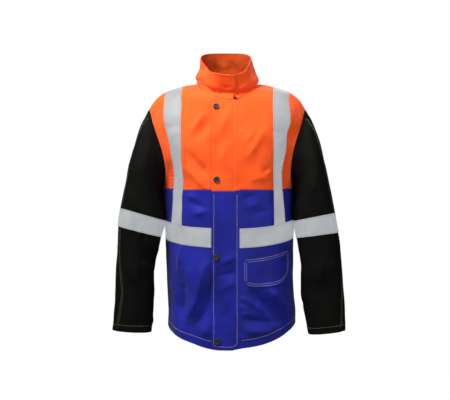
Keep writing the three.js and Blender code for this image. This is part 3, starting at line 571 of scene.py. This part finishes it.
def sewn_shell(name, panels, trims):
    """The skins of some panels sewn into one smooth surface, with tags for its panels and trims."""
    shell = bmesh.new()
    shell.faces.layers.int.new("panel")
    for index, panel in enumerate(panels):
        skin = outer_skin(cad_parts[panel])
        join_into_cells(skin)
        tag = skin.faces.layers.int.new("panel")
        for face in skin.faces:
            face[tag] = index
        part = bpy.data.meshes.new(panel)
        skin.to_mesh(part)
        skin.free()
        shell.from_mesh(part)
        bpy.data.meshes.remove(part)
    if len(panels) > 1:
        edge = [vert for vert in shell.verts if vert.is_boundary]
        bmesh.ops.remove_doubles(shell, verts=edge, dist=SEAM_REACH)
    tag_covers(shell, trims)
    tag = shell.faces.layers.int["panel"]
    for edge in shell.edges:
        edge.seam = len({face[tag] for face in edge.link_faces}) > 1
    mesh = bpy.data.meshes.new(name)
    shell.to_mesh(mesh)
    shell.free()
    obj = new_object(name, mesh)
    unwrap(obj)
    apply_modifier(
        obj,
        "SUBSURF",
        levels=SMOOTH_LEVELS,
        render_levels=SMOOTH_LEVELS,
        boundary_smooth="PRESERVE_CORNERS",
    )
    return obj


# Folds


def columns(domain, name, width=3):
    """The values of a mesh's attribute, in one row for each element."""
    values = np.zeros(len(domain) * width)
    domain.foreach_get(name, values)
    return values.reshape(-1, width)


def smooth(value, low, high):
    """0 up to low, 1 from high on, and a smooth rise between them."""
    share = np.clip((value - low) / (high - low), 0, 1)
    return share * share * (3 - 2 * share)


def sampled(path):
    """Rows along a path at even steps."""
    rows = np.array(path, float)
    steps = np.linalg.norm(np.diff(rows[:, :2], axis=0), axis=1)
    places = np.concatenate([[0], np.cumsum(steps)])
    even = np.linspace(0, places[-1], LINE_SAMPLES)
    return np.stack([np.interp(even, places, column) for column in rows.T], axis=1)


def traced(points, normals, line):
    """The values of a line's path at its place nearest to each point, fading to nothing across its width."""
    view = VIEWS[line.view]
    facing = smooth(view["sign"] * normals[:, view["axis"]], *FACING)
    flat = points[:, view["flat"]] / MM
    samples = sampled(line.path)
    gaps = np.sum((flat[:, None, :] - samples[None, :, :2]) ** 2, axis=2)
    reach = np.sqrt(np.min(gaps, axis=1)) / line.width
    weight = np.exp(-(reach**line.power)) * facing
    return samples[np.argmin(gaps, axis=1), 2:] * weight[:, None] * MM


def draw_moves(points, normals, draws):
    moves = np.zeros_like(points)
    for line in draws:
        moves[:, VIEWS[line.view]["flat"]] += traced(points, normals, line)
    return moves


def fold_heights(points, normals, folds):
    return sum((traced(points, normals, line)[:, 0] for line in folds), np.zeros(len(points)))


def wrinkle_heights(points, wrinkles):
    heights = np.zeros(len(points))
    for across, along, height in wrinkles:
        scaled = points / (np.array([across, across, along]) * MM)
        heights += [noise.noise(place) * height * MM for place in scaled]
    return heights


def open_edges(mesh):
    """A mesh's open edges, each with the one face beside it."""
    uses = {}
    for face in mesh.polygons:
        for key in face.edge_keys:
            uses.setdefault(key, []).append(face)
    return {key: faces[0] for key, faces in uses.items() if len(faces) == 1}


def place_tree(places):
    """A tree of places, to find the nearest one."""
    tree = KDTree(len(places))
    for index, place in enumerate(places):
        tree.insert(place, index)
    tree.balance()
    return tree


def sew_shells(shells):
    """Brings the shells' edges together where they meet, and gives each point's distance from there."""
    places = []
    for name, shell in shells.items():
        edge = sorted({index for key in open_edges(shell.data) for index in key})
        places += [(name, index) for index in edge]
    starts = [shells[name].data.vertices[index].co.copy() for name, index in places]
    joined = {name: [] for name in shells}
    for (name, index), start in zip(places, starts):
        others = [other for (owner, _), other in zip(places, starts) if owner != name]
        partner = min(others, key=lambda other: (other - start).length_squared)
        if (partner - start).length < JOIN_REACH:
            shells[name].data.vertices[index].co = (partner + start) / 2
            joined[name].append(index)
    distances = {}
    for name, shell in shells.items():
        tree = place_tree([shell.data.vertices[index].co for index in joined[name]])
        distances[name] = np.array([tree.find(vertex.co)[2] for vertex in shell.data.vertices])
    return distances


def fold_shell(name, shell, distance):
    """Moves a shell's points by its folds, wrinkles and drawn-in seams."""
    mesh = shell.data
    points = columns(mesh.vertices, "co")
    normals = columns(mesh.vertices, "normal")
    moves = draw_moves(points, normals, DRAWS.get(name, []))
    heights = fold_heights(points, normals, FOLDS[name]) + wrinkle_heights(points, WRINKLES[name])
    moves += normals * heights[:, None]
    seams = seam_points(mesh)
    moves[seams] -= normals[seams] * SEAM_SINK * MM
    moves *= smooth(distance, 0, JOIN_FADE)[:, None]
    mesh.vertices.foreach_set("co", (points + moves).ravel())
    mesh.update()


def sag_neck(mesh):
    """Lowers the front of the neckline, alike on the body and the collar."""
    for vertex in mesh.vertices:
        across = (vertex.co.x / MM - NECK_SAG_PLACE[0]) / NECK_SAG_REACH[0]
        above = (vertex.co.z / MM - NECK_SAG_PLACE[1]) / NECK_SAG_REACH[1]
        if vertex.co.y < 0:
            vertex.co.z -= NECK_SAG * MM * math.exp(-(across**2) - above**2)
    mesh.update()


def lap_collar(mesh):
    """Draws the collar's right end over its left, and spreads the ends at their foot."""
    heights, middles = zip(*COLLAR_ENDS)
    for vertex in mesh.vertices:
        x, y, z = vertex.co / MM
        past = x - np.interp(z, heights, middles)
        near = smooth(1 - abs(past) / COLLAR_END_REACH, 0, 1)
        if y > 0 or near == 0:
            continue
        side = "left" if past > 0 else "right"
        met = smooth(z, *COLLAR_APART)
        along = COLLAR_FOOT_MOVES[side] * (1 - met) + COLLAR_LAP_MOVES[side] * met
        forward = COLLAR_LAP_RAISE * met if side == "right" else 0
        vertex.co += Vector((along, -forward, 0)) * near * MM
    mesh.update()


def seam_points(mesh):
    """Indices of the vertices where two panels meet."""
    panel = columns(mesh.attributes["panel"].data, "value", 1)[:, 0]
    panels_at = [set() for _ in mesh.vertices]
    for face in mesh.polygons:
        for vertex in face.vertices:
            panels_at[vertex].add(panel[face.index])
    return [index for index, found in enumerate(panels_at) if len(found) > 1]


# Pieces cut from the shells


def cut_piece(shell, name, tag, value, lift=None):
    """The faces of a shell with one tag, as a new object, whose points lift() raises off the shell."""
    part = bmesh.new()
    part.from_mesh(shell.data)
    layer = part.faces.layers.int[tag]
    bmesh.ops.delete(part, geom=[face for face in part.faces if face[layer] != value], context="FACES")
    if lift:
        part.normal_update()
        for vert in part.verts:
            lift(vert)
    mesh = bpy.data.meshes.new(name)
    part.to_mesh(mesh)
    part.free()
    return new_object(name, mesh)


def flap_share(place):
    """0 at the storm flap's sewn edge, and 1 at its free edge."""
    share = (FLAP_SEWN_X - place.x / MM) / (FLAP_SEWN_X - FLAP_FREE_X)
    return min(max(share, 0), 1)


def lift_flap(vert):
    """Stands a point of the storm flap off the panel, and lets it down or draws it up."""
    share = flap_share(vert.co)
    gap = LAYER_GAP * min(share / FLAP_THIN_SHARE, 1) + FLAP_RAISE * share**2
    vert.co += vert.normal * (FLAP_LEAST_GAP + gap) * MM
    level = vert.co.z / MM
    drop = sum(depth * math.exp(-((level - height) / reach) ** 2) for height, reach, depth in FLAP_DROPS)
    corner = smooth(vert.co.x / MM, *FLAP_CORNER_X) * (1 - smooth(level, *FLAP_CORNER_Z))
    vert.co.z += (FLAP_CORNER_RISE * corner - drop) * MM


def raise_hem(vert):
    """Lifts the hem of the fronts beside and under the storm flap."""
    beside = (vert.co.x / MM - FLAP_SEWN_X) / HEM_RISE_REACH
    above = (vert.co.z / MM - HEM_RISE_Z) / HEM_RISE_REACH
    vert.co.z += HEM_RISE * math.exp(-(beside**2) - above**2) * MM


def lift_tape(vert):
    vert.co += vert.normal * LAYER_GAP * MM


def thin_sewn_edge(obj):
    """Weights that thin the storm flap's wall towards its sewn edge."""
    group = obj.vertex_groups.new(name="wall")
    for vertex in obj.data.vertices:
        group.add([vertex.index], min(flap_share(vertex.co) / FLAP_THIN_SHARE, 1), "REPLACE")
    return {"vertex_group": group.name, "thickness_vertex_group": FLAP_THIN}


def flat_size(mesh):
    flat = columns(mesh.uv_layers.active.data, "uv", 2)
    return tuple(float(size) for size in flat.max(axis=0) - flat.min(axis=0))


# Finishes


def linear(code):
    """A linear colour with alpha from an sRGB hex code."""
    parts = [int(code[start:start + 2], 16) / 255 for start in (1, 3, 5)]
    return (*(part / 12.92 if part <= 0.04045 else ((part + 0.055) / 1.055) ** 2.4 for part in parts), 1)


def add_node(tree, kind, inputs=None, **settings):
    """A node of that kind with its settings, and a value or a link on each named input."""
    made = tree.nodes.new(kind)
    for setting, value in settings.items():
        setattr(made, setting, value)
    for socket, value in (inputs or {}).items():
        if isinstance(value, bpy.types.NodeSocket):
            tree.links.new(value, made.inputs[socket])
        else:
            made.inputs[socket].default_value = value
    return made


def new_material(name):
    """A new material and its empty node tree."""
    material = bpy.data.materials.new(name)
    material.use_nodes = True
    material.node_tree.nodes.clear()
    return material, material.node_tree


def mixed(tree, share, low, high):
    """A colour between two, by a share from 0 to 1."""
    made = add_node(tree, "ShaderNodeMix", {0: share, 6: low, 7: high}, data_type="RGBA")
    return made.outputs[2]


def ranged(tree, value, low, high, start=0.0, end=1.0):
    """A value brought from low..high to start..end."""
    made = add_node(
        tree,
        "ShaderNodeMapRange",
        {"Value": value, "From Min": low, "From Max": high, "To Min": start, "To Max": end},
    )
    return made.outputs[0]


def speckle(tree, place, size, detail=2.0):
    """Noise whose grains are about this many millimetres across."""
    made = add_node(
        tree,
        "ShaderNodeTexNoise",
        {"Vector": place, "Scale": 1 / (size * MM), "Detail": detail},
    )
    return made.outputs["Fac"]


def grains(tree, place, size):
    """Distances from scattered points, which are about this many millimetres apart."""
    made = add_node(tree, "ShaderNodeTexVoronoi", {"Vector": place, "Scale": 1 / (size * MM)})
    return made.outputs["Distance"]


def stacked(tree, low, high, share=1.0):
    """One height, with a share of another added to it."""
    made = add_node(tree, "ShaderNodeMath", {0: high, 1: share, 2: low}, operation="MULTIPLY_ADD")
    return made.outputs[0]


def bumped(tree, height, strength, depth, **under):
    """A normal bent by a height over this many millimetres, and by the normal under it if one is given."""
    made = add_node(
        tree,
        "ShaderNodeBump",
        {"Height": height, "Strength": strength, "Distance": depth * MM, **under},
    )
    return made.outputs[0]


def new_finish(name):
    """A new material, its empty node tree, and the coordinates of the piece that wears it."""
    material, tree = new_material(name)
    return material, tree, add_node(tree, "ShaderNodeTexCoord").outputs


def surfaced(tree, inputs):
    """Ends a material's nodes in a surface with these values and links."""
    shader = add_node(tree, "ShaderNodeBsdfPrincipled", inputs)
    add_node(tree, "ShaderNodeOutputMaterial", {"Surface": shader.outputs[0]})


def cotton_drill(name, light, dark, roughness=0.9, gloss=0.1):
    """Dyed cotton drill: uneven dye, shallow creases, the slanting ribs of its weave, and a soft bloom."""
    material, tree, coords = new_finish(name)
    dye = ranged(tree, speckle(tree, coords["Object"], DYE_PATCH, detail=4.0), *PATCH_RANGE)
    ribs = add_node(
        tree,
        "ShaderNodeTexWave",
        {"Vector": coords["UV"], "Scale": DRILL_WAVES, "Distortion": 0.6, "Detail": 1.0},
        bands_direction="DIAGONAL",
    )
    weave = stacked(tree, ribs.outputs["Fac"], speckle(tree, coords["UV"], SLUB_SIZE))
    creases = speckle(tree, coords["Object"], CRUMPLE_SIZE, detail=3.0)
    crumple = bumped(tree, creases, strength=0.5, depth=CRUMPLE_DEPTH)
    surfaced(tree, {
        "Base Color": mixed(tree, dye, linear(dark), linear(light)),
        "Roughness": roughness,
        "Specular IOR Level": gloss,
        "Sheen Weight": 0.06,
        "Sheen Roughness": 0.5,
        "Normal": bumped(tree, weave, strength=0.35, depth=DRILL_DEPTH, Normal=crumple),
    })
    return material


def split_leather(name, light, dark):
    """Black split leather: a dull, slightly furry surface with a pebbled grain."""
    material, tree, coords = new_finish(name)
    wear = ranged(tree, speckle(tree, coords["Object"], WEAR_PATCH, detail=4.0), *PATCH_RANGE)
    nap = speckle(tree, coords["Object"], NAP_SIZE)
    height = stacked(tree, grains(tree, coords["Object"], GRAIN_SIZE), nap)
    surfaced(tree, {
        "Base Color": mixed(tree, wear, linear(dark), linear(light)),
        "Roughness": ranged(tree, nap, *SHINE_RANGE, start=0.7, end=0.9),
        "Specular IOR Level": 0.05,
        "Normal": bumped(tree, height, strength=0.5, depth=GRAIN_DEPTH),
    })
    return material


def bead_tape(name, light, dark, painted_glow_colour, worn, glow):
    """Silver tape of glass beads: grey and faintly rubbed, with a painted glow, an even emission in place of
    the light that the beads send back.
    """
    material, tree, coords = new_finish(name)
    rub_and_painted_glow = ranged(tree, speckle(tree, coords["Object"], RUB_AND_PAINTED_GLOW_PATCH, detail=5.0), *RUB_AND_PAINTED_GLOW_RANGE)
    beads = grains(tree, coords["Object"], BEAD_SIZE)
    creases = speckle(tree, coords["Object"], CREASE_SIZE, detail=3.0)
    height = stacked(tree, beads, creases, CREASE_SHARE)
    surfaced(tree, {
        "Base Color": mixed(tree, rub_and_painted_glow, linear(dark), linear(light)),
        "Roughness": 0.6,
        "Specular IOR Level": 0.3,
        # Painted glow: the tape emits light in place of what its beads send back; worn is the glow's colour on
        # rubbed patches
        "Emission Color": mixed(tree, rub_and_painted_glow, linear(worn), linear(painted_glow_colour)),
        "Emission Strength": glow,
        "Normal": bumped(tree, height, strength=0.3, depth=BEAD_DEPTH),
    })
    return material


def dark_metal(name, base):
    """Blackened brass: dark and metallic, with a worn, uneven shine."""
    material, tree, coords = new_finish(name)
    worn = speckle(tree, coords["Object"], TARNISH_PATCH)
    surfaced(tree, {
        "Base Color": linear(base),
        "Metallic": 0.35,
        "Roughness": ranged(tree, worn, *SHINE_RANGE, start=0.4, end=0.6),
    })
    return material


def thread(name, light, dark):
    """Spun thread: dull, and twisted so that it darkens along its length in fine steps."""
    material, tree, coords = new_finish(name)
    twist = ranged(tree, speckle(tree, coords["Object"], TWIST_SIZE), *PATCH_RANGE)
    surfaced(tree, {
        "Base Color": mixed(tree, twist, linear(dark), linear(light)),
        "Roughness": 0.8,
        "Specular IOR Level": 0.2,
    })
    return material


FINISHES = {
    "orange_cotton": cotton_drill("orange cotton drill", "#FA5C24", "#F5541C", roughness=0.85),
    "blue_cotton": cotton_drill("royal blue cotton drill", "#1A2090", "#141974", roughness=0.6, gloss=0.14),
    "black_leather": split_leather("black split leather", "#0D0D0C", "#090908"),
    # The tape's pale look is a painted glow: a steady emission, with worn as its colour on rubbed patches
    "reflective_tape": bead_tape(
        "silver reflective tape", "#605D57", "#56534D", painted_glow_colour="#E2E9F0", worn="#D3DAE2", glow=0.46
    ),
    "gunmetal": dark_metal("blackened snap metal", "#2A2722"),
    "orange_thread": thread("orange thread", "#E8662E", "#C84A14"),
    "pale_thread": thread("pale thread", "#A3A1A8", "#86848C"),
    "olive_thread": thread("olive thread", "#6E6745", "#4C472E"),
    "grey_thread": thread("grey thread", "#8E9194", "#74777A"),
}

# The panels' inner faces, partly painted shade
REVERSES_WITH_PAINTED_SHADE = {
    # The drills' reverses are darker than their faces: partly the duller wrong side of the cloth, partly
    # painted shade for the inside of the collar and jacket
    "orange_cotton": cotton_drill("reverse of the orange drill with painted shade", "#CC4C19", "#B04014"),
    "blue_cotton": cotton_drill("reverse of the blue drill with painted shade", "#141968", "#0F1350"),
    # The leather's reverse is its paler flesh side
    "black_leather": split_leather("reverse of the leather", "#141311", "#0D0C0B"),
}


def slot_of(name):
    if "tape" in name:
        return "reflective_tape"
    if "sleeve" in name:
        return "black_leather"
    if "lower" in name or "pocket" in name:
        return "blue_cotton"
    return "orange_cotton"


def finish_sheet(obj, node, wall, outside):
    slot = slot_of(node)
    area = sum(face.area for face in obj.data.polygons)
    flat = flat_size(obj.data)
    if node in TRIM_WIDTHS:
        flat = (TRIM_WIDTHS[node] * MM, area / (TRIM_WIDTHS[node] * MM))
    outlines[node] = edge_lines(obj.data)
    taper = thin_sewn_edge(obj) if node in FLAPS else {}
    dress(obj, slot)
    apply_modifier(
        obj,
        "SOLIDIFY",
        thickness=wall * MM,
        offset=1 if outside else -1,
        material_offset=0 if outside else 1,
        **taper,
    )
    obj.data.set_sharp_from_angle(angle=RIM_ANGLE)
    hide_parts(node)
    pieces[node] = obj


def dress(obj, slot):
    obj.data.materials.clear()
    obj.data.materials.append(FINISHES[slot])
    # The inner face wears the reverse, which for the drills is darkened partly as painted shade
    if slot in REVERSES_WITH_PAINTED_SHADE:
        obj.data.materials.append(REVERSES_WITH_PAINTED_SHADE[slot])
    obj.data.shade_smooth()
    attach(obj, BODY)


def make_pieces(name, shell):
    parts = SHELLS[name]
    for index, panel in enumerate(parts["panels"]):
        lift = raise_hem if panel in HEM_PANELS else None
        obj = cut_piece(shell, panel + "_cloth", "panel", index, lift)
        finish_sheet(obj, panel, WALLS[slot_of(panel)], False)
    for index, trim in enumerate(parts["trims"]):
        flap = trim in FLAPS
        obj = cut_piece(shell, trim + "_cloth", "cover", index + 1, lift_flap if flap else lift_tape)
        finish_sheet(obj, trim, FLAP_WALL if flap else TAPE_WALL, True)


def edge_lines(mesh):
    """The loops of a sheet's edge, as places with the directions inward and out of the surface."""
    after = {}
    inward = {}
    for key, face in open_edges(mesh).items():
        first, second = (mesh.vertices[index].co for index in key)
        along = (second - first).normalized()
        across = face.center - first
        across -= along * across.dot(along)
        for here, there in (key, reversed(key)):
            after.setdefault(here, []).append(there)
            inward[here] = inward.get(here, Vector()) + across.normalized()
    loops = []
    while after:
        here = next(iter(after))
        loop = [here]
        while here in after:
            onward = [there for there in after.pop(here) if there in after]
            if not onward:
                break
            here = onward[0]
            loop.append(here)
        places = []
        for index in loop + loop[:RUN_OVERLAP]:
            vertex = mesh.vertices[index]
            places.append((vertex.co.copy(), inward[index].normalized(), vertex.normal.copy()))
        loops.append(places)
    return loops


# The finished sheets by their nodes, and their edges before they have their thickness
pieces = {}
outlines = {}
shells = {name: sewn_shell(name + "_shell", **parts) for name, parts in SHELLS.items()}
join_distances = sew_shells(shells)
for shell_name, shell in shells.items():
    if shell_name in ("body", "collar"):
        sag_neck(shell.data)
    if shell_name == "collar":
        lap_collar(shell.data)
    fold_shell(shell_name, shell, join_distances[shell_name])
    make_pieces(shell_name, shell)
    bpy.data.objects.remove(shell)


# Pocket flap


def surface_of(*objects):
    """A tree of some objects' faces, to place things on."""
    points = []
    faces = []
    for obj in objects:
        start = len(points)
        points += [vertex.co.copy() for vertex in obj.data.vertices]
        faces += [[start + index for index in face.vertices] for face in obj.data.polygons]
    return BVHTree.FromPolygons(points, faces)


def on_front(tree, x, z):
    """The place and outward direction of a surface at x and z, seen from the front."""
    place, normal, _, _ = tree.ray_cast(Vector((x, IN_FRONT, z)), Vector((0, 1, 0)))
    return place, normal


def make_pocket_flap():
    """The pocket flap, laid over the folds of the panel under it."""
    obj = sewn_shell("pocket_flap_cloth", ("pocket_flap",), ())
    panel = surface_of(pieces["front_left_lower"])
    for vertex in obj.data.vertices:
        place, normal = on_front(panel, vertex.co.x, vertex.co.z)
        vertex.co = place + normal * POCKET_LIFT * MM
    finish_sheet(obj, "pocket_flap", FLAP_WALL, True)


make_pocket_flap()


# Snaps


def select_top(snap):
    """Selects the flat top of a snap that is being edited."""
    bpy.ops.mesh.select_all(action="DESELECT")
    shape = bmesh.from_edit_mesh(snap.data)
    flats = [face for face in shape.faces if len(face.verts) == SNAP_SIDES]
    top = max(flats, key=lambda face: face.calc_center_median().z)
    top.select = True
    bmesh.update_edit_mesh(snap.data)


def make_snap(node):
    """A snap cap: a domed disc with a raised rim, standing on the storm flap."""
    low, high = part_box(node)
    middle = (low + high) / 2
    flaps = surface_of(*(pieces[flap] for flap in FLAPS))
    place, normal = on_front(flaps, middle.x, middle.z)
    hold()
    bpy.ops.mesh.primitive_cylinder_add(
        vertices=SNAP_SIDES,
        radius=SNAP_RADIUS * MM,
        depth=SNAP_HEIGHT * MM,
        location=(0, 0, SNAP_HEIGHT / 2 * MM),
    )
    snap = bpy.context.object
    snap.name = node + "_cap"
    bpy.ops.object.transform_apply(location=True, rotation=False, scale=False)
    bpy.ops.object.mode_set(mode="EDIT")
    bpy.ops.mesh.select_mode(type="FACE")
    select_top(snap)
    bpy.ops.mesh.bevel(offset=SNAP_BEVEL * MM, segments=SNAP_BEVEL_SEGMENTS, affect="EDGES")
    select_top(snap)
    for width, rise in SNAP_STEPS:
        bpy.ops.mesh.inset(thickness=width * MM, depth=rise * MM)
    bpy.ops.object.mode_set(mode="OBJECT")
    turn = normal.to_track_quat("Z", "Y").to_matrix().to_4x4()
    snap.data.transform(Matrix.Translation(place) @ turn)
    dress(snap, "gunmetal")
    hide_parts(node)


for snap_node in SNAPS:
    make_snap(snap_node)


# Stitching


def evenly(points, step):
    """Points at even steps along a line of points."""
    rows = np.array([tuple(point) for point in points])
    places = np.concatenate([[0], np.cumsum(np.linalg.norm(np.diff(rows, axis=0), axis=1))])
    count = max(2, int(places[-1] / step))
    even = np.linspace(0, places[-1], count)
    return [Vector([np.interp(place, places, column) for column in rows.T]) for place in even]


def add_stitch(mesh_points, mesh_faces, place, along, normal):
    """One stitch: a short flattened bead of thread half sunk in the cloth."""
    across = along.cross(normal).normalized()
    start = len(mesh_points)
    for length_share, width_share in STITCH_RINGS:
        middle = place + along * length_share * STITCH_LENGTH * MM
        for side in range(STITCH_SIDES):
            angle = 2 * math.pi * side / STITCH_SIDES
            wide = across * math.cos(angle) * STITCH_WIDTH / 2 * MM
            high = normal * math.sin(angle) * STITCH_HEIGHT / 2 * MM
            mesh_points.append(middle + (wide + high) * width_share)
    for ring in range(len(STITCH_RINGS) - 1):
        for side in range(STITCH_SIDES):
            near = start + ring * STITCH_SIDES
            far = near + STITCH_SIDES
            after = (side + 1) % STITCH_SIDES
            mesh_faces.append((near + side, near + after, far + after, far + side))
    last = start + (len(STITCH_RINGS) - 1) * STITCH_SIDES
    mesh_faces.append(tuple(start + side for side in reversed(range(STITCH_SIDES))))
    mesh_faces.append(tuple(last + side for side in range(STITCH_SIDES)))


def half_width(places, height):
    """How far an edge's places at about one height are from the middle, on average."""
    near = [abs(place.x) for place in places if abs(place.z - height) < LEVEL_REACH]
    return sum(near) / len(near)


def is_sewn(which, place, inward, places):
    """Whether a run of stitches follows an edge at this one of its places."""
    if which == "sides":
        return abs(inward.x) > EDGE_FACING
    if which == "foot":
        return inward.z > EDGE_FACING
    if which == "outer":
        return abs(inward.z) < EDGE_FACING and abs(place.x) > half_width(places, place.z)
    return True


def run_lines(node, distance, which):
    """The lines that lie at some distance from a piece's edges."""
    places = [place for loop in outlines[node] for place, _, _ in loop]
    edge = place_tree(places)
    lines = []
    for loop in outlines[node]:
        line = []
        for place, inward, outward in loop:
            spot = place + inward * distance * MM
            clear = which == "foot" or edge.find(spot)[2] > RUN_CLEARANCE * distance * MM
            if clear and is_sewn(which, place, inward, places):
                line.append(spot + outward * OUTSIDE)
            elif line:
                lines.append(line)
                line = []
        lines.append(line)
    return [line for line in lines if len(line) > 2]


def sew_run(points, faces, node, distance, which):
    """Adds the stitches of one run, apart from those that a trim hides."""
    cloth = surface_of(pieces[node])
    for line in run_lines(node, distance, which):
        spots = evenly(line, (STITCH_LENGTH + STITCH_GAP) * MM)
        for before, spot, after in zip(spots, spots[1:], spots[2:]):
            place, normal, _, _ = cloth.find_nearest(spot)
            if node not in TRIM_WIDTHS and trim_surface.find_nearest(place, HIDDEN_REACH)[0] is not None:
                continue
            along = (after - before).normalized()
            along = (along - normal * along.dot(normal)).normalized()
            add_stitch(points, faces, place, along, normal)


def sew(thread_name):
    """One piece of all the stitches in one thread."""
    points = []
    faces = []
    for nodes, distance, which in RUNS[thread_name]:
        for node in nodes:
            sew_run(points, faces, node, distance, which)
    mesh = bpy.data.meshes.new(thread_name)
    mesh.from_pydata(points, [], faces)
    dress(new_object(thread_name, mesh), thread_name)


trim_surface = surface_of(*(pieces[trim] for trim in TRIM_WIDTHS))
for thread_name in RUNS:
    sew(thread_name)


# Camera, light and floor


def add_light(name, place, width, power):
    data = bpy.data.lights.new(name, "AREA")
    data.shape = "DISK"
    data.size = width
    data.energy = power
    light = new_object(name, data)
    light.location = place
    light.visible_camera = False
    light.rotation_euler = (Vector(LIT_POINT) - Vector(place)).to_track_quat("-Z", "Y").to_euler()


def add_camera():
    data = bpy.data.cameras.new("camera")
    data.sensor_width = SENSOR_WIDTH
    distance = -CAMERA_PLACE[1]
    data.lens = SENSOR_WIDTH * distance / PIXEL_AT_ORIGIN / FRAME_PIXELS[0]
    data.shift_x = (FRAME_PIXELS[0] / 2 - AXIS_PIXEL[0]) / FRAME_PIXELS[0]
    data.shift_y = (AXIS_PIXEL[1] - FRAME_PIXELS[1] / 2) / FRAME_PIXELS[0]
    camera = new_object("camera", data)
    camera.location = CAMERA_PLACE
    camera.rotation_euler = (math.pi / 2, 0, 0)
    bpy.context.scene.camera = camera


def add_floor():
    material, tree = new_material("white studio floor")
    glow = add_node(tree, "ShaderNodeEmission", {"Color": linear(WHITE), "Strength": FLOOR_GLOW})
    add_node(tree, "ShaderNodeOutputMaterial", {"Surface": glow.outputs[0]})
    hold()
    bpy.ops.mesh.primitive_circle_add(
        vertices=FLOOR_SIDES,
        radius=FLOOR_RADIUS,
        fill_type="NGON",
        location=(0, 0, -FLOOR_DROP),
    )
    floor = bpy.context.object
    floor.name = "floor"
    floor.data.materials.append(material)
    floor.visible_diffuse = False
    floor.visible_glossy = False


def add_world():
    world = bpy.data.worlds.new("studio")
    world.use_nodes = True
    tree = world.node_tree
    tree.nodes.clear()
    path = add_node(tree, "ShaderNodeLightPath")
    strength = ranged(tree, path.outputs["Is Camera Ray"], 0, 1, SKY_LIGHT, SKY_SEEN)
    sky = add_node(tree, "ShaderNodeBackground", {"Color": linear(WHITE), "Strength": strength})
    add_node(tree, "ShaderNodeOutputWorld", {"Surface": sky.outputs[0]})
    bpy.context.scene.world = world


add_camera()
add_floor()
add_world()
for light_name, light_settings in LIGHTS.items():
    add_light(light_name, **light_settings)
bpy.context.scene.view_settings.view_transform = "Standard"
